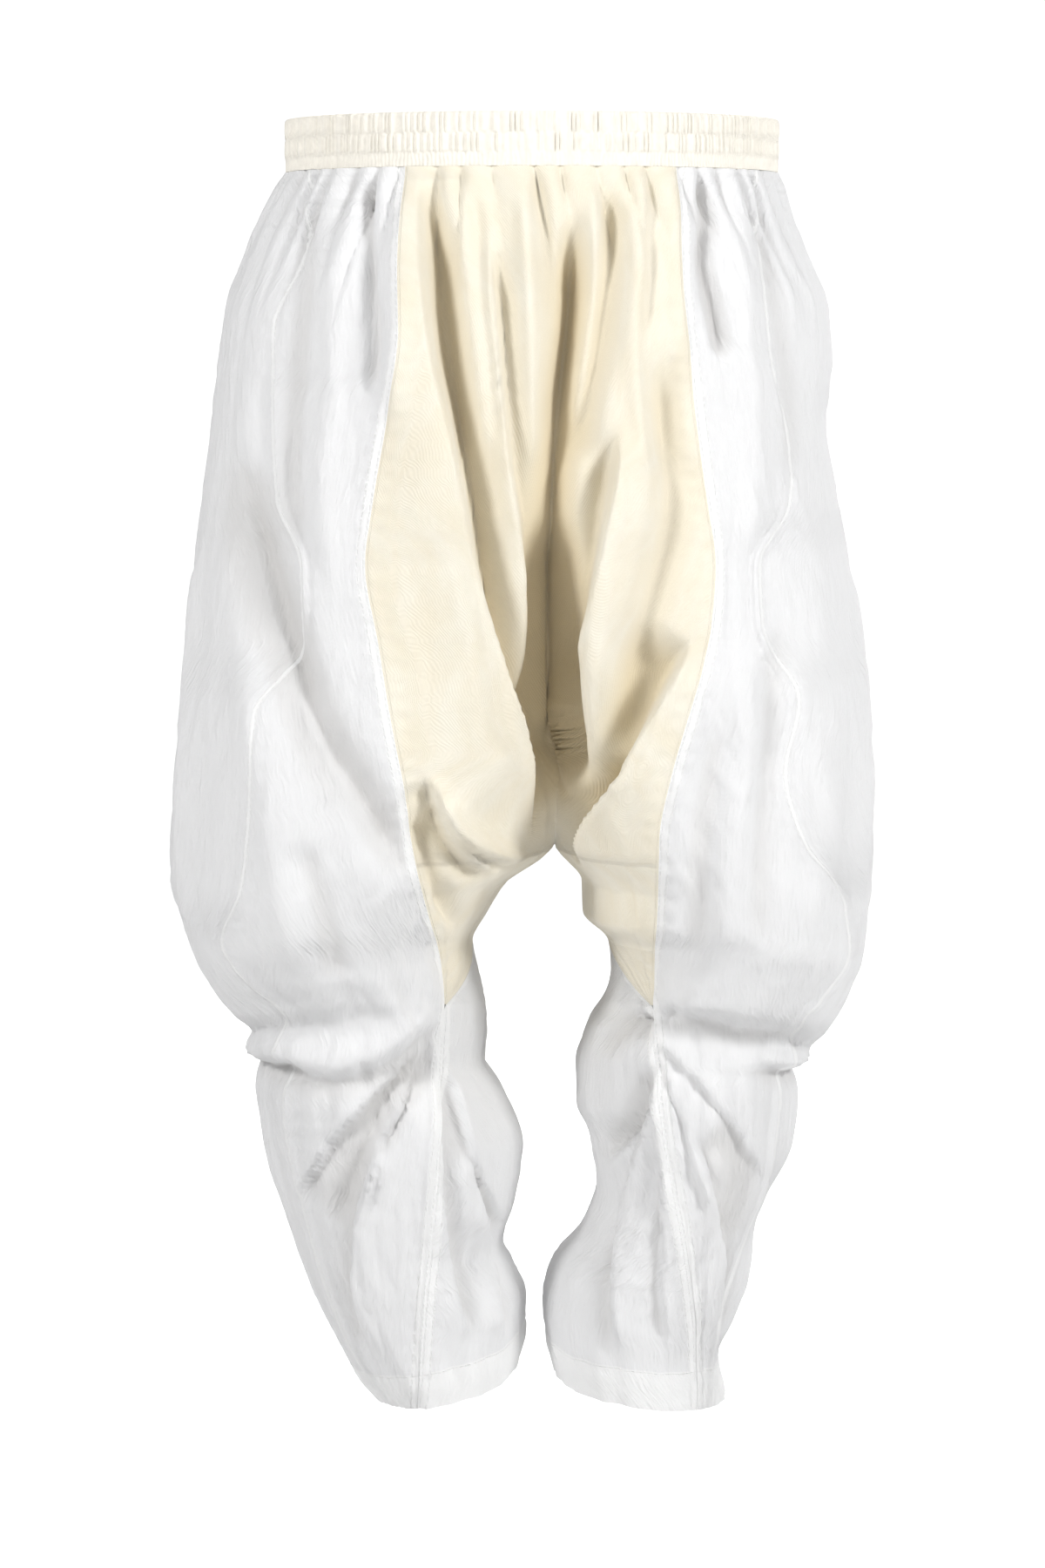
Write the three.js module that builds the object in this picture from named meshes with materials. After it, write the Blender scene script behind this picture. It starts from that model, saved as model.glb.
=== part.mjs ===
// Drop crotch trousers, worn and hollow: an elastic waistband, a cream panel that runs from
// the waist through the low crotch to both knees, and sheer white panels that balloon over
// narrow lower legs. Millimetres, +Z up. The back faces -Y and the front +Y, left is -X.
// The origin is the middle of the waist opening, at half the height of the band.
import * as THREE from "three";

const CLOTH = 1.2;
const HEM_CLOTH = 2.4; // the cloth turned up on itself
const HEM_TURN_UP = 30;
const SEAM_GAP = 0.3;
const BAND_HEIGHT = 38;
const BAND_STRIP = 9; // flat stitched strip at the foot of the band
const BAND_PLEATS = 84;
const BAND_PLEAT_DEPTH = 1.3;
const BAND_STRIP_DEPTH = 0.5;
const WAIST_GATHERS = 52;
const GATHER_DEPTH = 2.6;
const GATHER_SHORTEST = 45;
const GATHER_LONGEST = 150;

const BAND_FOOT = -BAND_HEIGHT / 2;
const PANEL_TOP = BAND_FOOT - SEAM_GAP;
const SADDLE = -512; // where the two legs part
const GORE_TOP = -606; // foot of the cream panel on the inner leg
const KNEE = -662; // point of the cream panel at the back and front of each leg
const KNEE_RAISE = 42; // how far the pinched knee sits above the foot of the balloon
const RAISE_END = -820;
const KNEE_ANGLE = 1.13;

const TURN = 2 * Math.PI;

// Sections of each side, from the waist to the hem. Above SADDLE inner is where the side's own
// oval would end, and the centre line cuts it there. square is the oval's exponent.
const LEFT_SECTIONS = [
  { z: -19, outer: -181, inner: 179, back: -130, front: 130, square: 2.1 },
  { z: -53, outer: -200, inner: 190, back: -146, front: 142, square: 2.1 },
  { z: -86, outer: -215, inner: 205, back: -155, front: 149, square: 2.15 },
  { z: -118, outer: -227, inner: 208, back: -161, front: 153, square: 2.2 },
  { z: -151, outer: -230, inner: 196, back: -165, front: 156, square: 2.25 },
  { z: -216, outer: -237, inner: 162, back: -169, front: 160, square: 2.3 },
  { z: -281, outer: -247, inner: 122, back: -172, front: 163, square: 2.3 },
  { z: -346, outer: -254, inner: 88, back: -174, front: 165, square: 2.3 },
  { z: -411, outer: -261, inner: 56, back: -176, front: 167, square: 2.3 },
  { z: -476, outer: -266, inner: 30, back: -176, front: 167, square: 2.3 },
  { z: -512, outer: -268, inner: 16, back: -174, front: 166, square: 2.25 },
  { z: -541, outer: -267, inner: -18, back: -171, front: 163, square: 2.2 },
  { z: -574, outer: -260, inner: -34, back: -166, front: 158, square: 2.2 },
  { z: -606, outer: -250, inner: -45, back: -158, front: 151, square: 2.2 },
  { z: -632, outer: -238, inner: -41, back: -148, front: 142, square: 2.2 },
  { z: -654, outer: -221, inner: -37, back: -135, front: 130, square: 2.15 },
  { z: -668, outer: -204, inner: -36, back: -122, front: 119, square: 2.1 },
  { z: -681, outer: -207, inner: -36, back: -117, front: 115, square: 2.1 },
  { z: -700, outer: -207, inner: -38, back: -116, front: 114, square: 2.1 },
  { z: -724, outer: -204, inner: -21, back: -114, front: 112, square: 2.1 },
  { z: -750, outer: -200, inner: -8, back: -110, front: 108, square: 2.1 },
  { z: -782, outer: -189, inner: -13, back: -105, front: 104, square: 2.1 },
  { z: -814, outer: -177, inner: -23, back: -99, front: 99, square: 2.1 },
  { z: -833, outer: -169, inner: -16, back: -96, front: 96, square: 2.1 },
  { z: -866, outer: -152, inner: -6, back: -89, front: 90, square: 2.05 },
  { z: -898, outer: -132, inner: -7, back: -82, front: 84, square: 2.05 },
  { z: -913, outer: -119, inner: -11, back: -78, front: 80, square: 2.05 },
];
const RIGHT_SECTIONS = [
  { z: -19, outer: 179, inner: -181, back: -130, front: 130, square: 2.1 },
  { z: -53, outer: 190, inner: -200, back: -146, front: 142, square: 2.1 },
  { z: -86, outer: 205, inner: -215, back: -155, front: 149, square: 2.15 },
  { z: -118, outer: 218, inner: -217, back: -161, front: 153, square: 2.2 },
  { z: -151, outer: 219, inner: -203, back: -165, front: 156, square: 2.25 },
  { z: -200, outer: 214, inner: -174, back: -168, front: 159, square: 2.3 },
  { z: -248, outer: 222, inner: -142, back: -171, front: 162, square: 2.3 },
  { z: -281, outer: 229, inner: -118, back: -172, front: 163, square: 2.3 },
  { z: -346, outer: 240, inner: -80, back: -174, front: 165, square: 2.3 },
  { z: -411, outer: 248, inner: -42, back: -176, front: 167, square: 2.3 },
  { z: -476, outer: 251, inner: -2, back: -176, front: 167, square: 2.3 },
  { z: -512, outer: 251, inner: 16, back: -174, front: 166, square: 2.25 },
  { z: -541, outer: 250, inner: 36, back: -171, front: 163, square: 2.2 },
  { z: -574, outer: 248, inner: 37, back: -166, front: 158, square: 2.2 },
  { z: -606, outer: 244, inner: 56, back: -158, front: 151, square: 2.2 },
  { z: -632, outer: 236, inner: 58, back: -148, front: 142, square: 2.2 },
  { z: -654, outer: 226, inner: 55, back: -136, front: 131, square: 2.15 },
  { z: -668, outer: 214, inner: 50, back: -124, front: 121, square: 2.1 },
  { z: -681, outer: 198, inner: 41, back: -117, front: 115, square: 2.1 },
  { z: -702, outer: 198, inner: 34, back: -116, front: 114, square: 2.1 },
  { z: -724, outer: 197, inner: 34, back: -114, front: 112, square: 2.1 },
  { z: -745, outer: 193, inner: 43, back: -110, front: 108, square: 2.1 },
  { z: -775, outer: 176, inner: 48, back: -105, front: 104, square: 2.1 },
  { z: -801, outer: 166, inner: 37, back: -101, front: 101, square: 2.1 },
  { z: -833, outer: 162, inner: 14, back: -96, front: 96, square: 2.1 },
  { z: -866, outer: 150, inner: 8, back: -89, front: 90, square: 2.05 },
  { z: -892, outer: 139, inner: 10, back: -83, front: 85, square: 2.05 },
  { z: -921, outer: 144, inner: 17, back: -78, front: 80, square: 2.05 },
];

// Seams as they run down the back: cream is the edge of the cream panel and, below the knee,
// the back seam of the leg; outer is the seam nearer the side.
const LEFT_SEAMS = [
  { z: -19, cream: -91, outer: -158 },
  { z: -83, cream: -91, outer: -164 },
  { z: -133, cream: -91, outer: -183 },
  { z: -190, cream: -100, outer: -184 },
  { z: -253, cream: -112, outer: -182 },
  { z: -299, cream: -118, outer: -163 },
  { z: -353, cream: -109, outer: -165 },
  { z: -403, cream: -101, outer: -193 },
  { z: -466, cream: -89, outer: -198 },
  { z: -530, cream: -79, outer: -206 },
  { z: -585, cream: -71, outer: -222 },
  { z: -627, cream: -66, outer: -205 },
  { z: -662, cream: -64, outer: -176 },
  { z: -716, cream: -67, outer: -182 },
  { z: -786, cream: -74, outer: -166 },
  { z: -868, cream: -81, outer: -136 },
  { z: -913, cream: -84, outer: -106 },
];
const RIGHT_SEAMS = [
  { z: -19, cream: 102, outer: 158 },
  { z: -95, cream: 104, outer: 163 },
  { z: -151, cream: 110, outer: 167 },
  { z: -220, cream: 118, outer: 184 },
  { z: -258, cream: 123, outer: 180 },
  { z: -299, cream: 128, outer: 158 },
  { z: -340, cream: 125, outer: 160 },
  { z: -395, cream: 111, outer: 186 },
  { z: -447, cream: 97, outer: 176 },
  { z: -492, cream: 89, outer: 188 },
  { z: -549, cream: 88, outer: 222 },
  { z: -600, cream: 87, outer: 226 },
  { z: -643, cream: 87, outer: 205 },
  { z: -662, cream: 86, outer: 190 },
  { z: -716, cream: 93, outer: 180 },
  { z: -762, cream: 102, outer: 174 },
  { z: -812, cream: 112, outer: 152 },
  { z: -872, cream: 119, outer: 136 },
  { z: -921, cream: 121, outer: 132 },
];
const FRONT_CREAM = 0.95; // the front seams lie a little nearer the middle
const FRONT_OUTER = 0.96;

// The centre line of the back, which leans to the right under the band.
const CENTRE_LINE = [
  { z: -19, x: 10 },
  { z: -115, x: 26 },
  { z: -230, x: 16 },
  { z: -512, x: 16 },
];

// Slope of each hem: rise for each millimetre to the right and towards the front.
const SIDES = {
  left: {
    name: "left", out: -1, sections: LEFT_SECTIONS, seams: LEFT_SEAMS,
    hemRight: 0.2, hemFront: 0.09,
  },
  right: {
    name: "right", out: 1, sections: RIGHT_SECTIONS, seams: RIGHT_SEAMS,
    hemRight: -0.14, hemFront: 0.02,
  },
};
const HEM_SLOPE_START = -790;

// The largest folds. A path runs across the face, upwards or to the right, as [across, z] points,
// where across is x on the back and front and y on an outer face. leftHigh and rightHigh are
// how far the cloth stands out just left and right of the path (left is above, on a level path),
// and each eases off over its own width. crisp is how wide the step between the two is.
const FOLDS = [
  // the left lobe of the cream panel, lying over the middle
  { face: "back", leftHigh: 15, leftWidth: 46, rightHigh: -24, rightWidth: 24, crisp: 5,
    path: [[3, -502], [3, -455], [-14, -396], [-36, -315], [-52, -224], [-68, -152], [-76, -80], [-80, -22]] },
  // the ridge beside it
  { face: "back", leftHigh: 9, leftWidth: 20, rightHigh: -12, rightWidth: 16, crisp: 6,
    path: [[-5, -428], [3, -375], [-2, -310], [-13, -240], [-23, -152], [-31, -60]] },
  // the deep valley down the middle
  { face: "back", leftHigh: -30, leftWidth: 15, rightHigh: -30, rightWidth: 15, crisp: 8,
    path: [[20, -480], [19, -398], [15, -320], [14, -250], [20, -180], [28, -115], [27, -40]] },
  // the narrow valley right of it
  { face: "back", leftHigh: -15, leftWidth: 8, rightHigh: -15, rightWidth: 9, crisp: 6,
    path: [[29, -236], [38, -192], [48, -150], [55, -98], [57, -24]] },
  // the left edge of the right lobe
  { face: "back", leftHigh: -20, leftWidth: 18, rightHigh: 15, rightWidth: 34, crisp: 7,
    path: [[24, -470], [18, -430], [24, -375], [38, -318], [50, -262], [60, -200]] },
  // the soft valley right of the right lobe
  { face: "back", leftHigh: -15, leftWidth: 11, rightHigh: -15, rightWidth: 17, crisp: 6,
    path: [[46, -450], [62, -392], [84, -316], [97, -262], [95, -205], [91, -140]] },
  // the lower right of the cream panel, lying over the crotch
  { face: "back", leftHigh: -24, leftWidth: 30, rightHigh: 12, rightWidth: 32, crisp: 5,
    path: [[30, -530], [36, -494], [56, -455], [80, -405], [112, -350]] },
  // the tuck at the lower left of the cream panel
  { face: "back", leftHigh: -12, leftWidth: 18, rightHigh: 6, rightWidth: 9, crisp: 5,
    path: [[-24, -524], [-42, -511], [-60, -485], [-76, -446]] },
  { face: "back", leftHigh: -12, leftWidth: 7, rightHigh: -12, rightWidth: 8, crisp: 4,
    path: [[-50, -573], [-58, -548], [-70, -515], [-82, -470]] },
  // the drag from the left hip to the knee
  { face: "back", leftHigh: -9, leftWidth: 20, rightHigh: -15, rightWidth: 18, crisp: 6,
    path: [[-84, -530], [-118, -474], [-156, -412], [-182, -345], [-204, -276], [-219, -205]] },
  // valleys that fall from the band
  { face: "back", leftHigh: -12, leftWidth: 7, rightHigh: -12, rightWidth: 7, crisp: 4,
    path: [[-114, -186], [-110, -140], [-114, -90], [-118, -22]] },
  { face: "back", leftHigh: -12, leftWidth: 7, rightHigh: -12, rightWidth: 7, crisp: 4,
    path: [[138, -160], [128, -118], [121, -86], [124, -55], [117, -22]] },
  // the balloon hanging over the lower legs
  { face: "back", leftHigh: 10, leftWidth: 26, rightHigh: -9, rightWidth: 15, crisp: 6,
    path: [[-212, -650], [-172, -665], [-143, -669], [-106, -657], [-66, -626]] },
  { face: "back", leftHigh: 12, leftWidth: 24, rightHigh: -11, rightWidth: 16, crisp: 5,
    path: [[84, -618], [112, -623], [146, -630], [182, -637], [212, -655]] },
  // drawn folds below the knees
  { face: "back", leftHigh: -12, leftWidth: 11, rightHigh: -14, rightWidth: 11, crisp: 5,
    path: [[-150, -785], [-134, -737], [-111, -696], [-70, -650]] },
  { face: "back", leftHigh: -10, leftWidth: 14, rightHigh: 7, rightWidth: 20, crisp: 6,
    path: [[28, -806], [46, -760], [60, -734], [82, -702], [88, -660]] },
  { face: "back", leftHigh: -4, leftWidth: 8, rightHigh: -13, rightWidth: 13, crisp: 5,
    path: [[40, -652], [54, -637], [70, -628], [88, -628]] },
  { face: "back", leftHigh: -8, leftWidth: 12, rightHigh: -8, rightWidth: 14, crisp: 5,
    path: [[147, -800], [150, -740], [124, -708]] },
  // the same kinds of fold on the front
  { face: "front", leftHigh: -20, leftWidth: 24, rightHigh: 14, rightWidth: 40, crisp: 6,
    path: [[20, -500], [30, -440], [44, -350], [58, -250], [72, -150], [78, -22]] },
  { face: "front", leftHigh: 13, leftWidth: 40, rightHigh: -20, rightWidth: 22, crisp: 6,
    path: [[-4, -480], [-22, -400], [-44, -300], [-56, -210], [-60, -120]] },
  { face: "front", leftHigh: -24, leftWidth: 17, rightHigh: -24, rightWidth: 17, crisp: 7,
    path: [[12, -480], [10, -380], [4, -280], [8, -180], [6, -60]] },
  { face: "front", leftHigh: -12, leftWidth: 14, rightHigh: -12, rightWidth: 12, crisp: 6,
    path: [[-62, -470], [-82, -400], [-98, -320], [-100, -240], [-90, -150]] },
  { face: "front", leftHigh: -10, leftWidth: 18, rightHigh: -13, rightWidth: 20, crisp: 6,
    path: [[92, -540], [124, -470], [160, -400], [186, -320], [200, -230]] },
  { face: "front", leftHigh: -13, leftWidth: 20, rightHigh: -10, rightWidth: 18, crisp: 6,
    path: [[-88, -550], [-130, -490], [-168, -420], [-196, -340]] },
  { face: "front", leftHigh: 10, leftWidth: 25, rightHigh: -10, rightWidth: 15, crisp: 6,
    path: [[-214, -652], [-170, -662], [-120, -655], [-66, -630]] },
  { face: "front", leftHigh: 10, leftWidth: 25, rightHigh: -10, rightWidth: 15, crisp: 6,
    path: [[82, -628], [130, -648], [170, -658], [212, -654]] },
  { face: "front", leftHigh: -9, leftWidth: 12, rightHigh: -9, rightWidth: 12, crisp: 5,
    path: [[-140, -800], [-118, -730], [-72, -660]] },
  { face: "front", leftHigh: -9, leftWidth: 12, rightHigh: -9, rightWidth: 12, crisp: 5,
    path: [[140, -810], [124, -740], [86, -668]] },
  // the outer faces
  { face: "leftSide", leftHigh: 8, leftWidth: 22, rightHigh: -6, rightWidth: 14, crisp: 6,
    path: [[-110, -662], [-40, -668], [30, -669], [110, -662]] },
  { face: "leftSide", leftHigh: -9, leftWidth: 18, rightHigh: -9, rightWidth: 16, crisp: 6,
    path: [[-70, -560], [-30, -460], [10, -330], [30, -180]] },
  { face: "leftSide", leftHigh: -8, leftWidth: 14, rightHigh: -8, rightWidth: 14, crisp: 6,
    path: [[50, -590], [80, -480], [90, -360]] },
  { face: "rightSide", leftHigh: 9, leftWidth: 22, rightHigh: -7, rightWidth: 14, crisp: 6,
    path: [[-110, -664], [-40, -674], [30, -674], [110, -662]] },
  { face: "rightSide", leftHigh: -9, leftWidth: 16, rightHigh: -9, rightWidth: 18, crisp: 6,
    path: [[-60, -570], [-40, -450], [0, -340], [10, -200]] },
  { face: "rightSide", leftHigh: -8, leftWidth: 15, rightHigh: -8, rightWidth: 15, crisp: 6,
    path: [[60, -600], [70, -500], [95, -380]] },
];
const FOLD_FADE = 0.16; // share of a path over which the fold rises and dies away

// Pocket bags, tucked up behind the flat strip of the band. depth is how far each lies inside
// the surface of the garment.
const POCKET_DEPTHS = [
  { z: -12, depth: 2.1 },
  { z: -19.3, depth: 3.3 },
  { z: -34, depth: 6 },
  { z: -70, depth: 8 },
  { z: -240, depth: 9 },
];
const POCKET_END_ANGLE = Math.PI + 0.4;

// Heights of the rows of points, closer where the cloth is gathered, pinched or hemmed.
const UPPER_ROWS = [
  PANEL_TOP, -34, -58, -86, -116, -146, -176, -206, -236, -266, -296, -326, -356, -386, -414,
  -440, -464, -484, -500, SADDLE,
];
const MIDDLE_ROWS = [-527, -545, -568, -590, GORE_TOP - 4, -628, -645];
const KNEE_ROWS = [-656, KNEE + 0.8, KNEE - 3, -675, -690, -716, -744, -772, -800, -830];
const ROWS_ABOVE_HEM = [52, 26, 0]; // heights above the hem
const BAND_ROWS = [BAND_HEIGHT / 2, BAND_FOOT + BAND_STRIP + 3, BAND_FOOT];
const POCKET_ROWS = [-12, PANEL_TOP, -34, -70, -116, -176, -240];

// Widths of the columns of points: the same for all pieces where the cloth is gathered.
const GATHER_COLUMNS_END = -60;
const GATHER_COLUMN = 5.6;
const FADING_COLUMNS_END = -118;
const FADING_COLUMN = 9;
const COLUMNS = { cream: 12.5, back: 16, side: 28, front: 20, inner: 19, pocket: 26 };
const NORMAL_REACH = 2.5; // how far apart the points that give a normal lie

const WHITE_CLOTH = new THREE.MeshStandardMaterial({ color: 0xf1f0ee, roughness: 0.9, metalness: 0 });
const CREAM_TWILL = new THREE.MeshStandardMaterial({ color: 0xf2ead2, roughness: 0.8, metalness: 0 });
const BAND_CLOTH = new THREE.MeshStandardMaterial({ color: 0xf4eee0, roughness: 0.85, metalness: 0 });
const POCKET_CLOTH = new THREE.MeshStandardMaterial({ color: 0xe9e8e8, roughness: 0.9, metalness: 0 });

const clamp = (value, low, high) => Math.min(high, Math.max(low, value));
const mix = (a, b, t) => a + (b - a) * t;
const smooth = (low, high, value) => {
  const t = clamp((value - low) / (high - low), 0, 1);
  return t * t * (3 - 2 * t);
};
// A fixed number from 0 to 1 for each whole number.
const scatter = (n) => {
  const s = Math.sin(n * 12.9898 + 4.1414) * 43758.5453;
  return s - Math.floor(s);
};

// One column of a table at height z, as a smooth curve that never overshoots its rows.
function column(rows, name, z) {
  if (z >= rows[0].z) return rows[0][name];
  const last = rows.length - 1;
  if (z <= rows[last].z) return rows[last][name];
  let i = 0;
  while (z < rows[i + 1].z) i++;
  const slope = (k) => (rows[k + 1][name] - rows[k][name]) / (rows[k + 1].z - rows[k].z);
  const tangent = (k) => {
    if (k === 0) return slope(0);
    if (k === last) return slope(last - 1);
    const a = slope(k - 1);
    const b = slope(k);
    return a * b <= 0 ? 0 : (2 * a * b) / (a + b);
  };
  const step = rows[i + 1].z - rows[i].z;
  const t = (z - rows[i].z) / step;
  const t2 = t * t;
  const t3 = t2 * t;
  return (2 * t3 - 3 * t2 + 1) * rows[i][name] + (t3 - 2 * t2 + t) * step * tangent(i)
    + (3 * t2 - 2 * t3) * rows[i + 1][name] + (t3 - t2) * step * tangent(i + 1);
}

// Distances along and across a path, as a list of short straight pieces.
function preparePath(fold) {
  const curve = new THREE.CatmullRomCurve3(
    fold.path.map(([a, z]) => new THREE.Vector3(a, z, 0)), false, "centripetal");
  const points = curve.getPoints(3 * (fold.path.length - 1));
  const pieces = [];
  let run = 0;
  for (let i = 0; i + 1 < points.length; i++) {
    const length = points[i].distanceTo(points[i + 1]);
    pieces.push({
      a: points[i].x, z: points[i].y,
      da: (points[i + 1].x - points[i].x) / length,
      dz: (points[i + 1].y - points[i].y) / length,
      length, run,
    });
    run += length;
  }
  const reach = 2.6 * Math.max(fold.leftWidth, fold.rightWidth);
  const across = points.map((p) => p.x);
  const heights = points.map((p) => p.y);
  return {
    ...fold, pieces, run,
    low: [Math.min(...across) - reach, Math.min(...heights) - reach],
    high: [Math.max(...across) + reach, Math.max(...heights) + reach],
  };
}
const PREPARED_FOLDS = FOLDS.map(preparePath);

// How far one fold moves the cloth out at a point of its face.
function foldHeight(fold, a, z) {
  if (a < fold.low[0] || a > fold.high[0] || z < fold.low[1] || z > fold.high[1]) return 0;
  let nearest = Infinity;
  let signed = 0;
  let along = 0;
  for (const piece of fold.pieces) {
    const t = clamp((a - piece.a) * piece.da + (z - piece.z) * piece.dz, 0, piece.length);
    const ra = a - piece.a - t * piece.da;
    const rz = z - piece.z - t * piece.dz;
    const distance = Math.hypot(ra, rz);
    if (distance < nearest) {
      nearest = distance;
      signed = Math.sign(ra * piece.dz - rz * piece.da) * distance;
      along = (piece.run + t) / fold.run;
    }
  }
  const fade = smooth(0, FOLD_FADE, along) * smooth(0, FOLD_FADE, 1 - along);
  const left = fold.leftHigh * Math.exp(-((signed / fold.leftWidth) ** 2));
  const right = fold.rightHigh * Math.exp(-((signed / fold.rightWidth) ** 2));
  return fade * mix(left, right, smooth(-fold.crisp, fold.crisp, signed));
}

// The smooth surface of one side at an angle round it: 0 inner leg, a quarter turn the back,
// half a turn the outer face, three quarters the front.
function smoothPoint(side, angle, z) {
  const outer = column(side.sections, "outer", z);
  const inner = column(side.sections, "inner", z);
  const power = 2 / column(side.sections, "square", z);
  const c = Math.cos(angle);
  const s = Math.sin(angle);
  const depth = column(side.sections, s > 0 ? "back" : "front", z);
  const x = (outer + inner) / 2 + ((inner - outer) / 2) * Math.sign(c) * Math.abs(c) ** power;
  const y = depth * Math.abs(s) ** power;
  const turn = Math.abs(((angle + Math.PI) % TURN) - Math.PI);
  const window = smooth(SADDLE, KNEE, z) * smooth(RAISE_END, KNEE, z);
  const raise = KNEE_RAISE * window * (1 + Math.cos(turn - KNEE_ANGLE)) / 2;
  const sloped = smooth(HEM_SLOPE_START, side.sections.at(-1).z, z);
  const hem = sloped * (side.hemRight * (x - (outer + inner) / 2) + side.hemFront * y);
  return new THREE.Vector3(x, y, z + raise + hem);
}

function surfaceNormal(pointAt, side, angle, z) {
  const radius = 100;
  const turn = NORMAL_REACH / radius;
  const around = pointAt(side, angle + turn, z).sub(pointAt(side, angle - turn, z));
  const up = pointAt(side, angle, z + NORMAL_REACH).sub(pointAt(side, angle, z - NORMAL_REACH));
  return around.cross(up).multiplyScalar(side.out).normalize();
}

// Angle on the back half of a side's section where it crosses x.
function angleAt(side, x, z) {
  const outer = column(side.sections, "outer", z);
  const inner = column(side.sections, "inner", z);
  const square = column(side.sections, "square", z);
  const share = clamp((x - (outer + inner) / 2) / ((inner - outer) / 2), -1, 1);
  return Math.acos(Math.sign(share) * Math.abs(share) ** (square / 2));
}
const centreAngle = (side, z) =>
  z > SADDLE ? angleAt(side, column(CENTRE_LINE, "x", z), z) : 0;

// The seams of a side at height z, as angles round it.
function seamAngles(side, z) {
  const cream = column(side.seams, "cream", z);
  const outer = column(side.seams, "outer", z);
  const creamBack = angleAt(side, cream, z);
  const creamFront = TURN - angleAt(side, cream * FRONT_CREAM, z);
  const gore = clamp((GORE_TOP - z) / (GORE_TOP - KNEE), 0, 1);
  return {
    centre: centreAngle(side, z),
    innerBack: gore * creamBack,
    innerFront: gore * (creamFront - TURN),
    creamBack,
    outerBack: angleAt(side, outer, z),
    outerFront: TURN - angleAt(side, outer * FRONT_OUTER, z),
    creamFront,
  };
}

// Small gathers that fall from the band, each with its own length.
function gatherHeight(side, angle, z) {
  const start = centreAngle(side, z);
  const share = (angle - start) / (TURN - 2 * start);
  const count = (share * WAIST_GATHERS) / 2;
  const length = mix(GATHER_SHORTEST, GATHER_LONGEST, scatter(Math.round(count) + 31 * side.out));
  const fall = smooth(PANEL_TOP, PANEL_TOP - 12, z) * 0.5 + 0.5;
  return GATHER_DEPTH * fall * (1 - smooth(0, length, PANEL_TOP - z)) * Math.cos(TURN * count);
}

// The smooth surface moved out by its folds, and by the small gathers where it has them.
function foldedPoint(side, angle, z, gathers = 0) {
  const point = smoothPoint(side, angle, z);
  const out = surfaceNormal(smoothPoint, side, angle, z);
  const faces = {
    back: [point.x, -out.y],
    front: [point.x, out.y],
    leftSide: [point.y, -out.x],
    rightSide: [point.y, out.x],
  };
  let height = gathers;
  for (const fold of PREPARED_FOLDS) {
    const [across, facing] = faces[fold.face];
    const weight = smooth(0.15, 0.65, facing);
    if (weight > 0) height += weight * foldHeight(fold, across, point.z);
  }
  return point.addScaledVector(out.setZ(0).normalize(), height);
}
const clothPoint = (side, angle, z) => foldedPoint(side, angle, z, gatherHeight(side, angle, z));

// The waistband: the waist section ruched into many small pleats over a flatter strip.
function bandPoint(side, angle, z) {
  const point = smoothPoint(side, angle, z);
  const out = surfaceNormal(smoothPoint, side, angle, z).setZ(0).normalize();
  const start = centreAngle(side, BAND_FOOT);
  const count = (((angle - start) / (TURN - 2 * start)) * BAND_PLEATS) / 2;
  const depth = z > BAND_FOOT + BAND_STRIP ? BAND_PLEAT_DEPTH : BAND_STRIP_DEPTH;
  return point.addScaledVector(out, depth * Math.cos(TURN * count));
}

// A sheet of points and triangles that becomes a closed wall.
class Cloth {
  constructor() {
    this.outside = [];
    this.inside = [];
    this.triangles = [];
  }

  add(point, normal, thickness) {
    this.outside.push(point);
    this.inside.push(point.clone().addScaledVector(normal, -thickness));
    return this.outside.length - 1;
  }

  // Triangles between two rows of points, which may hold different counts.
  zip(upper, lower, out) {
    let i = 0;
    let j = 0;
    while (i < upper.length - 1 || j < lower.length - 1) {
      const nextUpper = (i + 1) / (upper.length - 1);
      const nextLower = (j + 1) / (lower.length - 1);
      const takeUpper = j === lower.length - 1 || (i < upper.length - 1 && nextUpper <= nextLower);
      const corners = takeUpper
        ? [upper[i], lower[j], upper[++i]]
        : [upper[i], lower[j], lower[++j]];
      if (out < 0) corners.reverse();
      this.triangles.push(corners);
    }
  }

  mesh(name, material) {
    const count = this.outside.length;
    const index = [];
    const edges = new Set();
    for (const [a, b, c] of this.triangles) {
      index.push(a, b, c, count + c, count + b, count + a);
      for (const [p, q] of [[a, b], [b, c], [c, a]]) edges.add(p + " " + q);
    }
    for (const edge of edges) {
      const [p, q] = edge.split(" ").map(Number);
      if (edges.has(q + " " + p)) continue;
      // the two sides of a seam are split along the same diagonal
      if (this.outside[p].z < this.outside[q].z) {
        index.push(q, p, count + p, q, count + p, count + q);
      } else {
        index.push(q, p, count + q, p, count + p, count + q);
      }
    }
    const positions = [...this.outside, ...this.inside].flatMap((p) => [p.x, p.y, p.z]);
    const geometry = new THREE.BufferGeometry();
    geometry.setAttribute("position", new THREE.Float32BufferAttribute(positions, 3));
    geometry.setIndex(index);
    geometry.computeVertexNormals();
    const made = new THREE.Mesh(geometry, material);
    made.name = name;
    return made;
  }
}

// A point on a panel's edge: half the gap away from the seam, towards greater angles or back.
// Both pieces at a seam take its normal, so their edges lie side by side.
function edgePoint(pointAt, side, seamAt, z, towards) {
  const angle = seamAt(z);
  const normal = surfaceNormal(pointAt, side, angle, z);
  const above = pointAt(side, seamAt(z + NORMAL_REACH), z + NORMAL_REACH);
  const along = above.sub(pointAt(side, seamAt(z - NORMAL_REACH), z - NORMAL_REACH));
  const across = along.cross(normal).multiplyScalar(side.out).normalize();
  const point = pointAt(side, angle, z).addScaledVector(across, (towards * SEAM_GAP) / 2);
  return { point, normal };
}

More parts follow.
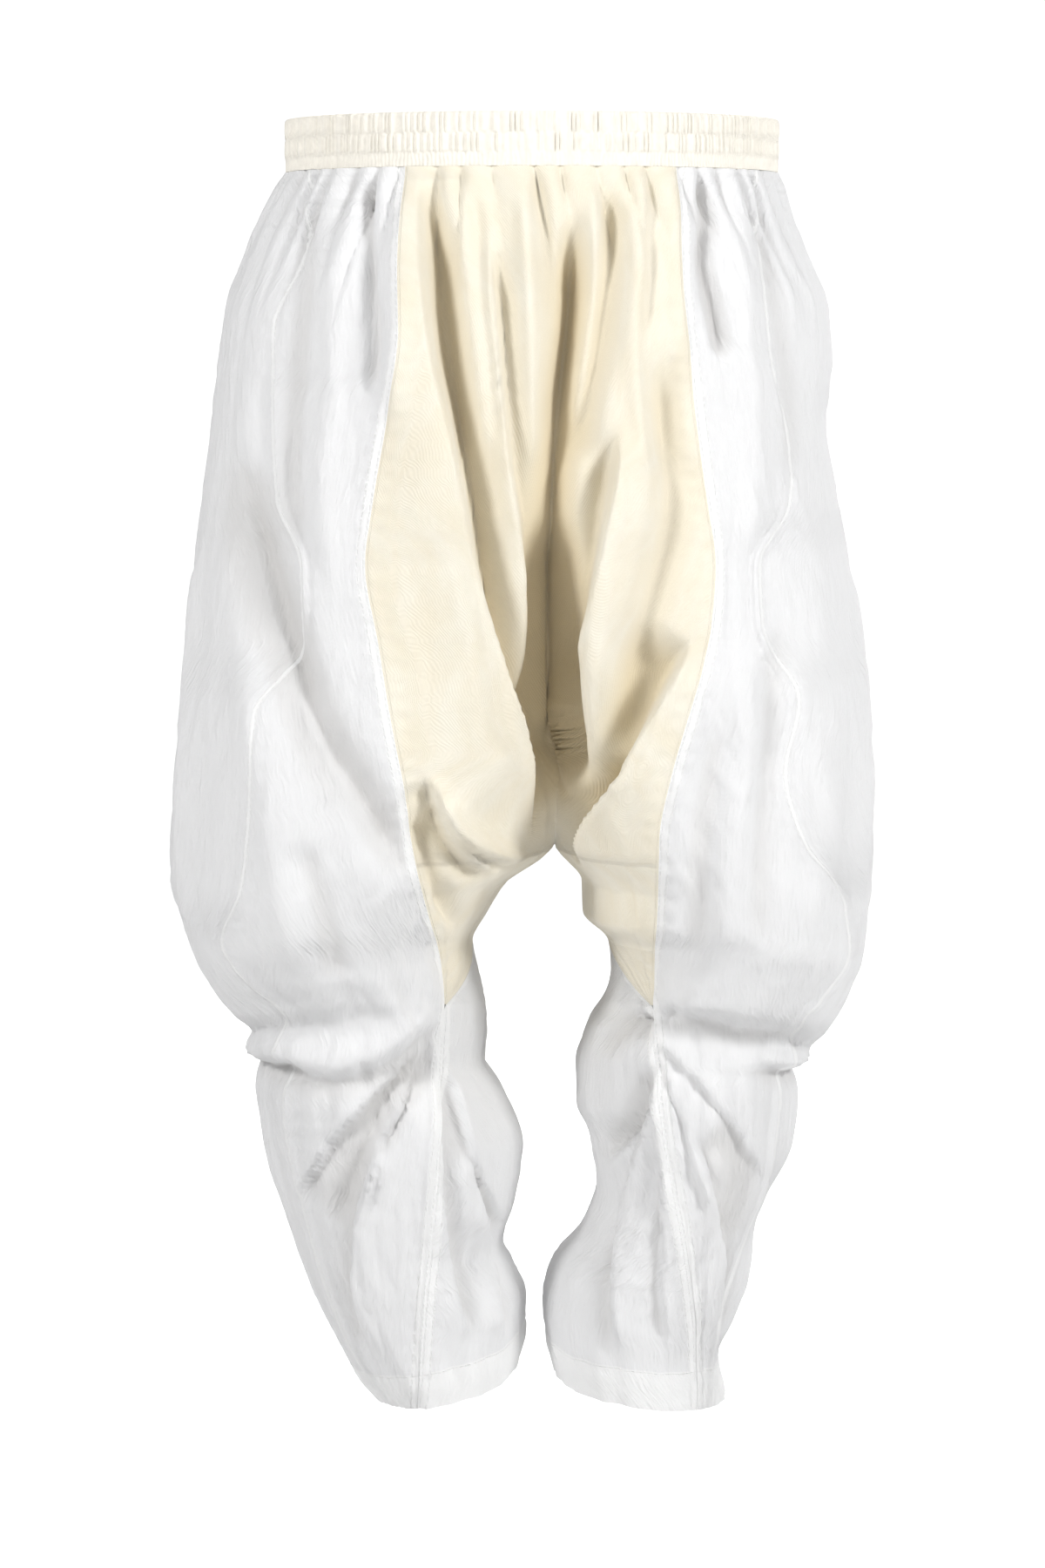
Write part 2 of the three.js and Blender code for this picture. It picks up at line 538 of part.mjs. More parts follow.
function rowLength(side, from, to, z) {
  const steps = 12;
  let length = 0;
  for (let i = 0; i < steps; i++) {
    const a = smoothPoint(side, mix(from, to, i / steps), z);
    length += a.distanceTo(smoothPoint(side, mix(from, to, (i + 1) / steps), z));
  }
  return length;
}

function columnWidth(z, plain) {
  if (z > GATHER_COLUMNS_END) return GATHER_COLUMN;
  return z > FADING_COLUMNS_END ? FADING_COLUMN : plain;
}

const wallAt = (side, z) => {
  const hem = side.sections.at(-1).z;
  return mix(HEM_CLOTH, CLOTH, smooth(hem + HEM_TURN_UP - 2, hem + HEM_TURN_UP + 2, z));
};

// One row of a panel between two seams, given as functions of height. A centre point that both
// halves of a panel share stands first in a back row and last in a front one.
function panelRow(cloth, side, z, fromAt, toAt, options) {
  const pointAt = options.pointAt ?? clothPoint;
  const from = fromAt(z);
  const to = toAt(z);
  const count = options.count
    ?? Math.max(1, Math.round(rowLength(side, from, to, z) / columnWidth(z, options.plain)));
  const row = [];
  for (let i = 0; i <= count; i++) {
    const atCentre = options.centre && i === (options.front ? count : 0);
    if (atCentre) {
      row.push(options.centre(z));
      continue;
    }
    const angle = mix(from, to, i / count);
    let made = { point: pointAt(side, angle, z), normal: surfaceNormal(pointAt, side, angle, z) };
    if (i === 0) made = edgePoint(pointAt, side, fromAt, z, 1);
    if (i === count) made = edgePoint(pointAt, side, toAt, z, -1);
    if (options.level.includes(z)) {
      made.point.z = z;
      made.normal.setZ(0).normalize();
    }
    row.push(cloth.add(made.point, made.normal, wallAt(side, z)));
  }
  return row;
}

function joinRows(cloth, side, rows) {
  for (let i = 0; i + 1 < rows.length; i++) cloth.zip(rows[i], rows[i + 1], side.out);
}

const hemRows = (side) => ROWS_ABOVE_HEM.map((height) => side.sections.at(-1).z + height);
const allRows = (side) => [...UPPER_ROWS, ...MIDDLE_ROWS, ...KNEE_ROWS, ...hemRows(side)];

// A panel between two seams of one side.
function sidePanel(side, name, rows, plain, from, to) {
  const cloth = new Cloth();
  const options = { plain, level: [PANEL_TOP] };
  const fromAt = (z) => from(seamAngles(side, z), z);
  const toAt = (z) => to(seamAngles(side, z), z);
  joinRows(cloth, side, rows.map((z) => panelRow(cloth, side, z, fromAt, toAt, options)));
  return cloth.mesh(side.name + "_" + name, WHITE_CLOTH);
}

// The centre points that the two halves of a panel share, made once for each height.
function centrePoints(cloth, pointAt, front, level) {
  const made = new Map();
  const halfGap = (front ? SEAM_GAP : -SEAM_GAP) / 2;
  return (z) => {
    if (!made.has(z)) {
      const point = new THREE.Vector3();
      const normal = new THREE.Vector3();
      for (const side of [SIDES.left, SIDES.right]) {
        const angle = front ? TURN - centreAngle(side, z) : centreAngle(side, z);
        point.addScaledVector(pointAt(side, angle, z), 0.5);
        normal.add(surfaceNormal(pointAt, side, angle, z));
      }
      if (z <= SADDLE) point.y += halfGap;
      if (level.includes(z)) normal.setZ(0);
      made.set(z, cloth.add(point, normal.normalize(), CLOTH));
    }
    return made.get(z);
  };
}

// The cream panel: one piece above the saddle, then a tongue down each leg to the knee.
function creamPanel(name, front) {
  const cloth = new Cloth();
  const level = [PANEL_TOP];
  const centre = centrePoints(cloth, clothPoint, front, level);
  for (const side of [SIDES.left, SIDES.right]) {
    const innerAt = (z) => {
      const seams = seamAngles(side, z);
      if (z > GORE_TOP) return front ? TURN - seams.centre : seams.centre;
      return front ? TURN + seams.innerFront : seams.innerBack;
    };
    const creamAt = (z) => seamAngles(side, z)[front ? "creamFront" : "creamBack"];
    const rows = [...UPPER_ROWS, ...MIDDLE_ROWS, KNEE_ROWS[0], KNEE_ROWS[1]].map((z) => {
      const shared = z >= SADDLE ? centre : undefined;
      const options = { centre: shared, front, level, plain: COLUMNS.cream };
      return front
        ? panelRow(cloth, side, z, creamAt, innerAt, options)
        : panelRow(cloth, side, z, innerAt, creamAt, options);
    });
    joinRows(cloth, side, rows);
  }
  return cloth.mesh(name, CREAM_TWILL);
}

function waistband(name, front) {
  const cloth = new Cloth();
  const centre = centrePoints(cloth, bandPoint, front, BAND_ROWS);
  const options = { centre, front, level: BAND_ROWS, pointAt: bandPoint, count: BAND_PLEATS / 2 };
  for (const side of [SIDES.left, SIDES.right]) {
    const middleAt = (z) => (front ? TURN - centreAngle(side, z) : centreAngle(side, z));
    const outerAt = () => Math.PI;
    joinRows(cloth, side, BAND_ROWS.map((z) => (front
      ? panelRow(cloth, side, z, outerAt, middleAt, options)
      : panelRow(cloth, side, z, middleAt, outerAt, options))));
  }
  return cloth.mesh(name, BAND_CLOTH);
}

// A pocket bag: a sheet that hangs inside the side panel, from the outer back seam round to the
// side, and makes the pocket with that panel.
function pocketBag(side) {
  const cloth = new Cloth();
  const rows = POCKET_ROWS.map((z) => {
    const from = seamAngles(side, z).outerBack;
    const count = Math.round(rowLength(side, from, POCKET_END_ANGLE, z) / COLUMNS.pocket);
    const made = [];
    for (let i = 0; i <= count; i++) {
      const angle = mix(from, POCKET_END_ANGLE, i / count);
      const out = surfaceNormal(smoothPoint, side, angle, z).setZ(0).normalize();
      const point = foldedPoint(side, angle, z);
      point.addScaledVector(out, -column(POCKET_DEPTHS, "depth", z));
      made.push(cloth.add(point, out, CLOTH));
    }
    return made;
  });
  joinRows(cloth, side, rows);
  return cloth.mesh(side.name + "_pocket_bag", POCKET_CLOTH);
}

const legRows = (side) => [GORE_TOP - 4, ...MIDDLE_ROWS.slice(5), ...KNEE_ROWS, ...hemRows(side)];

const trousers = new THREE.Group();
trousers.add(
  waistband("waistband_back", false),
  waistband("waistband_front", true),
  creamPanel("centre_back_panel", false),
  creamPanel("centre_front_panel", true),
);
for (const side of [SIDES.left, SIDES.right]) {
  const belowKnee = (z) => z <= KNEE;
  trousers.add(
    sidePanel(side, "back_panel", allRows(side), COLUMNS.back,
      (seams) => seams.creamBack, (seams) => seams.outerBack),
    sidePanel(side, "side_panel", allRows(side), COLUMNS.side,
      (seams) => seams.outerBack, (seams) => seams.outerFront),
    sidePanel(side, "front_panel", allRows(side), COLUMNS.front,
      (seams) => seams.outerFront, (seams) => seams.creamFront),
    sidePanel(side, "inner_leg_panel", legRows(side), COLUMNS.inner,
      (seams, z) => (belowKnee(z) ? seams.creamFront - TURN : seams.innerFront),
      (seams, z) => (belowKnee(z) ? seams.creamBack : seams.innerBack)),
    pocketBag(side),
  );
}

export default trousers;
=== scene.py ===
"""Looks of a pair of drop crotch trousers: worn, hollow, sheer white cloth round a cream panel.

Lengths in the tables are millimetres in the frame of the CAD, whose origin is the middle of the
waist opening. The back faces -Y, left is -X and +Z is up. Meshes are made in metres.
"""
import logging
import math
from dataclasses import dataclass
from enum import Enum
from typing import Union

import bmesh
import bpy
import mathutils
import numpy as np
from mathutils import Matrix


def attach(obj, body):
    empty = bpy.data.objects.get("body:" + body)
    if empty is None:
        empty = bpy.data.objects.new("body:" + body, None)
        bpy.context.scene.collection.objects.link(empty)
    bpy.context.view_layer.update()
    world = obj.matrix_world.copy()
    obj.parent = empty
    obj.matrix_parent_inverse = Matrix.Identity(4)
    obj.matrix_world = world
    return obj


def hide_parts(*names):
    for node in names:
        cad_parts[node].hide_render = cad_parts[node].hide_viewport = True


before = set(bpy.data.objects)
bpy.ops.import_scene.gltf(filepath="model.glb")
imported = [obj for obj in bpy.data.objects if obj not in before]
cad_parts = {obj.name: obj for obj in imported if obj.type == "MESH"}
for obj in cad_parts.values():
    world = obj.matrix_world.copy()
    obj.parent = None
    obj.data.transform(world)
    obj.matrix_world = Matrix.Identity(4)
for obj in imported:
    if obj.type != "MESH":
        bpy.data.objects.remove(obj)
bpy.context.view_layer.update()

LOG = logging.getLogger("trousers")
Array = np.ndarray
Socket = bpy.types.NodeSocket
Value = Union[Socket, float, tuple[float, ...]]
Owner = Union[bpy.types.Material, bpy.types.World]

MM = 0.001
TURN = 2 * math.pi
NOWHERE = 500.0  # stands for a seam or a hem that a point is far from
ROUND_SIDE = 150.0  # a side's mean radius, which turns angles into widths of cloth
BEND_WIDTH, BEND_LENGTH, BEND_REACH = 46.0, 70.0, 9.0  # how crinkles wander
PATCH_WIDTH, PATCH_LENGTH = 90.0, 120.0  # areas more and less crinkled
PUCKER_PITCH, PUCKER_REACH = 13.0, 7.0  # puckers beside a seam
GROOVE_WIDTH = 1.6  # half width of a seam's or a hem's groove
TOP_EASE = 10.0  # crinkles grow over this length from a piece's top

BAND_HEIGHT = 38.0
BAND_STRIP = 9.0
BAND_FOOT = -BAND_HEIGHT / 2
PANEL_TOP = BAND_FOOT - 0.3
SADDLE = -512.0
GORE_TOP = -606.0
KNEE = -662.0
KNEE_RAISE = 42.0
RAISE_END = -820.0
KNEE_ANGLE = 1.13
HEM_SLOPE_START = -790.0
HEM_TURN_UP = 30.0
WAIST_GATHERS = 52
GATHER_DEPTH = 4.16
GATHER_SHORTEST = 45.0
GATHER_LONGEST = 150.0
FRONT_CREAM = 0.95
FRONT_OUTER = 0.96
FOLD_FADE = 0.16
CRISP_SHARE = 0.5  # thin cloth steps more sharply than the solid does
INNER_LOW, INNER_HIGH = 0.1, 0.7  # cosines between which a place comes onto the inner leg
FACING_LOW, FACING_HIGH = 0.15, 0.65  # how far a place must face a fold to take it up
EASE_RUN = 40.0  # height over which the inner leg comes to lie smooth
GATHER_FALL = 12.0  # gathers grow over this height from the band
GATHER_SWAY, GATHER_DRIFT = 0.16, 0.37  # how unevenly they stand
PATCH_LEAST = 0.45  # share of the crinkle left in the plainest areas
FINER_SHARE, FINER_ACROSS, FINER_DOWN = 0.5, 1.9, 2.3  # the crinkle's finer half
SHARP_MEAN = 0.6  # the sharp crinkle's mean, taken off so that it doesn't swell the cloth
KNEE_EASE = (-48.0, -24.0, 0.0, 24.0, 48.0)  # heights averaged where the inner knee lies smooth

# Sections of each side: z, outer, inner, back, front and the oval's exponent.
LEFT_SECTIONS = (
    (-19, -181, 179, -130, 130, 2.1),
    (-53, -200, 190, -146, 142, 2.1),
    (-86, -215, 205, -155, 149, 2.15),
    (-118, -227, 208, -161, 153, 2.2),
    (-151, -230, 196, -165, 156, 2.25),
    (-216, -237, 162, -169, 160, 2.3),
    (-281, -247, 122, -172, 163, 2.3),
    (-346, -254, 88, -174, 165, 2.3),
    (-411, -261, 56, -176, 167, 2.3),
    (-476, -266, 30, -176, 167, 2.3),
    (-512, -268, 16, -174, 166, 2.25),
    (-541, -267, -18, -171, 163, 2.2),
    (-574, -260, -34, -166, 158, 2.2),
    (-606, -250, -45, -158, 151, 2.2),
    (-632, -238, -41, -148, 142, 2.2),
    (-654, -221, -37, -135, 130, 2.15),
    (-668, -204, -36, -122, 119, 2.1),
    (-681, -207, -36, -117, 115, 2.1),
    (-700, -207, -38, -116, 114, 2.1),
    (-724, -204, -21, -114, 112, 2.1),
    (-750, -200, -8, -110, 108, 2.1),
    (-782, -189, -13, -105, 104, 2.1),
    (-814, -177, -23, -99, 99, 2.1),
    (-833, -169, -16, -96, 96, 2.1),
    (-866, -152, -6, -89, 90, 2.05),
    (-898, -132, -7, -82, 84, 2.05),
    (-913, -119, -11, -78, 80, 2.05),
)
# The right side.
RIGHT_SECTIONS = (
    (-19, 179, -181, -130, 130, 2.1),
    (-53, 190, -200, -146, 142, 2.1),
    (-86, 205, -215, -155, 149, 2.15),
    (-118, 218, -217, -161, 153, 2.2),
    (-151, 219, -203, -165, 156, 2.25),
    (-200, 214, -174, -168, 159, 2.3),
    (-248, 222, -142, -171, 162, 2.3),
    (-281, 229, -118, -172, 163, 2.3),
    (-346, 240, -80, -174, 165, 2.3),
    (-411, 248, -42, -176, 167, 2.3),
    (-476, 251, -2, -176, 167, 2.3),
    (-512, 251, 16, -174, 166, 2.25),
    (-541, 250, 36, -171, 163, 2.2),
    (-574, 248, 37, -166, 158, 2.2),
    (-606, 244, 56, -158, 151, 2.2),
    (-632, 236, 58, -148, 142, 2.2),
    (-654, 226, 55, -136, 131, 2.15),
    (-668, 214, 50, -124, 121, 2.1),
    (-681, 198, 41, -117, 115, 2.1),
    (-702, 198, 34, -116, 114, 2.1),
    (-724, 197, 34, -114, 112, 2.1),
    (-745, 193, 43, -110, 108, 2.1),
    (-775, 176, 48, -105, 104, 2.1),
    (-801, 166, 37, -101, 101, 2.1),
    (-833, 162, 14, -96, 96, 2.1),
    (-866, 150, 8, -89, 90, 2.05),
    (-892, 139, 10, -83, 85, 2.05),
    (-921, 144, 17, -78, 80, 2.05),
)
# Seams of each side: z, cream seam, outer seam.
LEFT_SEAMS = (
    (-19, -91, -158),
    (-83, -91, -164),
    (-133, -91, -183),
    (-190, -100, -184),
    (-253, -112, -182),
    (-299, -118, -163),
    (-353, -109, -165),
    (-403, -101, -193),
    (-466, -89, -198),
    (-530, -79, -206),
    (-585, -71, -222),
    (-627, -66, -205),
    (-662, -64, -176),
    (-716, -67, -182),
    (-786, -74, -166),
    (-868, -81, -136),
    (-913, -84, -106),
)
# The right side.
RIGHT_SEAMS = (
    (-19, 102, 158),
    (-95, 104, 163),
    (-151, 110, 167),
    (-220, 118, 184),
    (-258, 123, 180),
    (-299, 128, 158),
    (-340, 125, 160),
    (-395, 111, 186),
    (-447, 97, 176),
    (-492, 89, 188),
    (-549, 88, 222),
    (-600, 87, 226),
    (-643, 87, 205),
    (-662, 86, 190),
    (-716, 93, 180),
    (-762, 102, 174),
    (-812, 112, 152),
    (-872, 119, 136),
    (-921, 121, 132),
)
# Centre line of the back and front: z, x.
CENTRE_LINE = (
    (-19, 10),
    (-115, 26),
    (-230, 16),
    (-512, 16),
)
# How far a pocket bag lies inside the garment: z, depth.
POCKET_DEPTHS = (
    (-12, 2.1),
    (-19.3, 3.3),
    (-34, 6),
    (-70, 8),
    (-240, 9),
)




class Face(Enum):
    """A face of the garment that a fold lies on."""

    BACK = "back"
    FRONT = "front"
    LEFT = "left"
    RIGHT = "right"


@dataclass(frozen=True)
class Fold:
    """A fold along a path of (across, z) points, upwards or to the right.

    The heights are how far the cloth stands out just left and right of the path, each easing
    off over its own width, and crisp is the width of the step between them.
    """

    face: Face
    left_high: float
    left_width: float
    right_high: float
    right_width: float
    crisp: float
    path: tuple[tuple[float, float], ...]


# Large folds, about as the solids have them.
FOLDS = (
    # the left lobe of the cream panel, lying over the middle
    Fold(Face.BACK, 15, 46, -24, 24, 5,
         ((3, -502), (3, -455), (-14, -396), (-36, -315), (-52, -224), (-68, -152), (-76, -80), (-80, -22))),
    # the ridge beside it
    Fold(Face.BACK, 9, 20, -12, 16, 6,
         ((-5, -428), (3, -375), (-2, -310), (-13, -240), (-23, -152), (-31, -60))),
    # the deep valley down the middle
    Fold(Face.BACK, -30, 15, -30, 15, 8,
         ((20, -480), (19, -398), (15, -320), (14, -250), (20, -180), (28, -115), (27, -40))),
    # the narrow valley right of it
    Fold(Face.BACK, -15, 8, -15, 9, 6,
         ((29, -236), (38, -192), (48, -150), (55, -98), (57, -24))),
    # the left edge of the right lobe
    Fold(Face.BACK, -20, 18, 15, 34, 7,
         ((24, -470), (18, -430), (24, -375), (38, -318), (50, -262), (60, -200))),
    # the soft valley right of the right lobe
    Fold(Face.BACK, -15, 11, -15, 17, 6,
         ((46, -450), (62, -392), (84, -316), (97, -262), (95, -205), (91, -140))),
    # the lower right of the cream panel, lying over the crotch
    Fold(Face.BACK, -24, 30, 12, 32, 5,
         ((30, -530), (36, -494), (56, -455), (80, -405), (112, -350))),
    # the tuck at the lower left of the cream panel
    Fold(Face.BACK, -12, 18, 6, 9, 5,
         ((-24, -524), (-42, -511), (-60, -485), (-76, -446))),
    Fold(Face.BACK, -12, 7, -12, 8, 4,
         ((-50, -573), (-58, -548), (-70, -515), (-82, -470))),
    # the drag from the left hip to the knee
    Fold(Face.BACK, -9, 20, -15, 18, 6,
         ((-84, -530), (-118, -474), (-156, -412), (-182, -345), (-204, -276), (-219, -205))),
    # valleys that fall from the band
    Fold(Face.BACK, -12, 7, -12, 7, 4,
         ((-114, -186), (-110, -140), (-114, -90), (-118, -22))),
    Fold(Face.BACK, -12, 7, -12, 7, 4,
         ((138, -160), (128, -118), (121, -86), (124, -55), (117, -22))),
    # the balloon hanging over the lower legs
    Fold(Face.BACK, 10, 26, -7, 18, 18,
         ((-212, -650), (-172, -665), (-143, -669), (-106, -657), (-66, -626))),
    Fold(Face.BACK, 8, 26, -6, 18, 16,
         ((84, -618), (112, -623), (146, -630), (182, -637), (212, -655))),
    # drawn folds below the knees
    Fold(Face.BACK, -9, 13, -11, 13, 5,
         ((-150, -785), (-134, -737), (-111, -696), (-70, -650))),
    Fold(Face.BACK, -10, 14, 7, 20, 6,
         ((28, -806), (46, -760), (60, -734), (82, -702), (88, -660))),
    Fold(Face.BACK, -4, 8, -13, 13, 5,
         ((40, -652), (54, -637), (70, -628), (88, -628))),
    Fold(Face.BACK, -8, 12, -8, 14, 5,
         ((147, -800), (150, -740), (124, -708))),
    # the same kinds of fold on the front
    Fold(Face.FRONT, -20, 24, 14, 40, 6,
         ((20, -500), (30, -440), (44, -350), (58, -250), (72, -150), (78, -22))),
    Fold(Face.FRONT, 13, 40, -20, 22, 6,
         ((-4, -480), (-22, -400), (-44, -300), (-56, -210), (-60, -120))),
    Fold(Face.FRONT, -24, 17, -24, 17, 7,
         ((12, -480), (10, -380), (4, -280), (8, -180), (6, -60))),
    Fold(Face.FRONT, -12, 14, -12, 12, 6,
         ((-62, -470), (-82, -400), (-98, -320), (-100, -240), (-90, -150))),
    Fold(Face.FRONT, -10, 18, -13, 20, 6,
         ((92, -540), (124, -470), (160, -400), (186, -320), (200, -230))),
    Fold(Face.FRONT, -13, 20, -10, 18, 6,
         ((-88, -550), (-130, -490), (-168, -420), (-196, -340))),
    Fold(Face.FRONT, 8, 26, -6, 18, 14,
         ((-214, -652), (-170, -662), (-120, -655), (-66, -630))),
    Fold(Face.FRONT, 8, 26, -6, 18, 14,
         ((82, -628), (130, -648), (170, -658), (212, -654))),
    Fold(Face.FRONT, -9, 12, -9, 12, 5,
         ((-140, -800), (-118, -730), (-72, -660))),
    Fold(Face.FRONT, -9, 12, -9, 12, 5,
         ((140, -810), (124, -740), (86, -668))),
    # the outer faces
    Fold(Face.LEFT, 8, 22, -6, 14, 6,
         ((-110, -662), (-40, -668), (30, -669), (110, -662))),
    Fold(Face.LEFT, -9, 18, -9, 16, 6,
         ((-70, -560), (-30, -460), (10, -330), (30, -180))),
    Fold(Face.LEFT, -8, 14, -8, 14, 6,
         ((50, -590), (80, -480), (90, -360))),
    Fold(Face.RIGHT, 9, 22, -7, 14, 6,
         ((-110, -664), (-40, -674), (30, -674), (110, -662))),
    Fold(Face.RIGHT, -9, 16, -9, 18, 6,
         ((-60, -570), (-40, -450), (0, -340), (10, -200))),
    Fold(Face.RIGHT, -8, 15, -8, 15, 6,
         ((60, -600), (70, -500), (95, -380))),
)

# Smaller folds, too fine for the solids.
FINE_FOLDS = (
    # gathers that run on down the cream panel
    Fold(Face.BACK, 4, 9, 4, 7, 3, ((-86, -24), (-90, -70), (-92, -130), (-97, -205))),
    Fold(Face.BACK, -4, 6, -4, 6, 3, ((-72, -24), (-70, -74), (-60, -150), (-50, -228))),
    Fold(Face.BACK, 4, 6, 4, 6, 3, ((-54, -24), (-50, -90), (-42, -160), (-34, -236))),
    Fold(Face.BACK, -5, 6, -5, 6, 3, ((-43, -24), (-38, -80), (-30, -150), (-22, -225))),
    Fold(Face.BACK, 5, 6, 5, 6, 3, ((-8, -24), (-5, -84), (-1, -160), (5, -240))),
    Fold(Face.BACK, -5, 5, -5, 5, 3, ((0, -24), (8, -70), (10, -130))),
    Fold(Face.BACK, 5, 6, 5, 6, 3, ((42, -24), (42, -84), (36, -150), (30, -215))),
    Fold(Face.BACK, 5, 7, 5, 7, 3, ((72, -24), (72, -90), (70, -150), (78, -236))),
    Fold(Face.BACK, -4, 5, -4, 5, 3, ((84, -24), (84, -80), (80, -140))),
    Fold(Face.BACK, 4, 7, 4, 7, 3, ((96, -24), (100, -90), (104, -170), (112, -240))),
    # the sharp floor of the middle valley and the notch below it
    Fold(Face.BACK, -11, 6, -11, 7, 3,
         ((22, -420), (20, -340), (17, -270), (20, -190), (27, -115), (28, -50))),
    Fold(Face.BACK, -26, 10, -26, 9, 3, ((12, -500), (15, -440), (17, -380), (16, -320), (18, -260))),
    # the recess beside the flap over the crotch
    Fold(Face.BACK, -14, 14, 4, 10, 3, ((31, -540), (34, -505), (48, -470), (68, -438))),
    # the rolled lower edge of the left lobe
    Fold(Face.BACK, 8, 12, -6, 12, 3, ((-70, -462), (-60, -486), (-40, -503), (-18, -514), (2, -514))),
    # soft folds of the left side
    Fold(Face.BACK, 5, 14, 5, 16, 5, ((-168, -600), (-176, -520), (-192, -440), (-214, -350))),
    Fold(Face.BACK, -5, 12, -5, 12, 5, ((-137, -600), (-152, -540), (-168, -492))),
    Fold(Face.BACK, 4, 12, 4, 12, 5, ((-112, -560), (-122, -500), (-140, -440), (-164, -380))),
    Fold(Face.BACK, 4, 10, 4, 10, 5, ((-140, -330), (-146, -260), (-140, -170), (-136, -60))),
    Fold(Face.BACK, -5, 9, -5, 9, 4, ((-168, -300), (-172, -220), (-164, -120), (-156, -30))),
    Fold(Face.BACK, 4, 9, 4, 9, 4, ((-206, -290), (-206, -210), (-196, -120), (-178, -30))),
    # soft folds of the right side
    Fold(Face.BACK, -5, 11, -5, 11, 4, ((114, -585), (116, -520), (122, -460), (130, -400))),
    Fold(Face.BACK, 5, 11, 5, 11, 4, ((136, -590), (138, -520), (146, -440), (150, -350))),
    Fold(Face.BACK, -4, 10, -4, 10, 4, ((160, -580), (160, -500), (166, -420), (178, -330))),
    Fold(Face.BACK, 4, 12, 4, 12, 4, ((196, -600), (206, -520), (214, -420), (212, -320))),
    Fold(Face.BACK, 4, 9, 4, 9, 4, ((150, -300), (156, -220), (150, -130), (142, -30))),
    Fold(Face.BACK, -4, 8, -4, 8, 4, ((186, -250), (184, -180), (172, -110), (158, -30))),
    # folds drawn into the left knee
    Fold(Face.BACK, 4, 8, -5, 9, 4, ((-176, -772), (-140, -712), (-104, -676), (-72, -650))),
    Fold(Face.BACK, 4, 8, -4, 8, 4, ((-122, -780), (-110, -724), (-92, -690), (-74, -656))),
    Fold(Face.BACK, 5, 8, -5, 8, 3, ((-62, -668), (-48, -720), (-34, -760), (-20, -800))),
    # folds drawn into the right knee
    Fold(Face.BACK, 3, 9, -3, 9, 4, ((88, -644), (112, -668), (140, -700), (170, -752))),
    Fold(Face.BACK, 2, 9, -3, 9, 4, ((90, -652), (104, -690), (116, -730), (126, -780))),
    # long planes down the lower legs
    Fold(Face.BACK, 5, 16, -5, 14, 4, ((-44, -876), (-58, -820), (-66, -752), (-66, -676))),
    Fold(Face.BACK, -5, 12, 5, 16, 5, ((-118, -890), (-132, -830), (-128, -770), (-104, -712))),
    Fold(Face.BACK, 5, 14, -5, 12, 4, ((-20, -880), (-26, -830), (-34, -780), (-46, -720))),
    Fold(Face.BACK, -5, 12, 5, 15, 4, ((60, -890), (56, -830), (66, -770), (86, -700))),
    Fold(Face.BACK, 5, 14, -5, 12, 5, ((132, -880), (140, -820), (134, -770), (112, -706))),
    Fold(Face.BACK, -4, 10, 4, 12, 4, ((96, -880), (92, -820), (94, -760), (90, -690))),
    # the same kinds on the front and the outer faces
    Fold(Face.FRONT, 5, 14, 5, 16, 5, ((-160, -600), (-172, -520), (-190, -430), (-206, -340))),
    Fold(Face.FRONT, -4, 10, -4, 10, 4, ((-140, -330), (-146, -250), (-138, -150), (-130, -40))),
    Fold(Face.FRONT, 5, 12, 5, 12, 5, ((136, -600), (144, -520), (152, -430), (170, -340))),
    Fold(Face.FRONT, 4, 10, 4, 10, 4, ((150, -320), (156, -240), (146, -140), (136, -40))),
    Fold(Face.FRONT, 5, 8, 5, 8, 3, ((36, -24), (34, -90), (40, -170), (30, -250))),
    Fold(Face.FRONT, -4, 7, -4, 7, 3, ((-32, -24), (-30, -90), (-26, -170))),
    Fold(Face.FRONT, 4, 8, -5, 8, 4, ((-170, -760), (-130, -706), (-98, -676), (-70, -652))),
    Fold(Face.FRONT, 4, 8, -5, 8, 4, ((88, -650), (114, -680), (144, -716), (172, -764))),
    Fold(Face.LEFT, 5, 13, 5, 13, 5, ((-90, -600), (-84, -500), (-70, -400), (-50, -280))),
    Fold(Face.LEFT, 5, 12, 5, 12, 5, ((10, -600), (30, -500), (50, -400), (60, -280))),
    Fold(Face.RIGHT, 5, 13, 5, 13, 5, ((-96, -600), (-88, -500), (-66, -400), (-40, -300))),
    Fold(Face.RIGHT, 5, 12, 5, 12, 5, ((20, -600), (30, -500), (56, -400), (60, -280))),
)


def smooth(low: float, high: float, value: Array) -> Array:
    """A soft step from 0 at low to 1 at high."""
    t = np.clip((value - low) / (high - low), 0.0, 1.0)
    return t * t * (3 - 2 * t)


def mix(a: Array | float, b: Array | float, t: Array | float) -> Array | float:
    """The value a share t of the way from a to b."""
    return a + (b - a) * t


def scatter(n: Array) -> Array:
    """A fixed number from 0 to 1 for each number given."""
    s = np.sin(n * 12.9898 + 4.1414) * 43758.5453
    return s - np.floor(s)


def noise(x: Array, y: Array, seed: float) -> Array:
    """Smooth noise from about -1 to 1 over a plane, fixed by its seed.

    Args:
        x: Places along the first axis, one unit to a cell.
        y: Places along the second axis.
        seed: Picks the pattern.

    Returns:
        The noise at each place.
    """
    cell_x, cell_y = np.floor(x), np.floor(y)
    part_x, part_y = x - cell_x, y - cell_y
    total = 0.0
    for dx in (0, 1):
        for dy in (0, 1):
            turn = TURN * scatter((cell_x + dx) * 1.37 + (cell_y + dy) * 7.913 + seed * 3.1)
            slope = np.cos(turn) * (part_x - dx) + np.sin(turn) * (part_y - dy)
            ease_x = smooth(0, 1, 1 - np.abs(part_x - dx))
            ease_y = smooth(0, 1, 1 - np.abs(part_y - dy))
            total = total + slope * ease_x * ease_y
    return total * 1.5


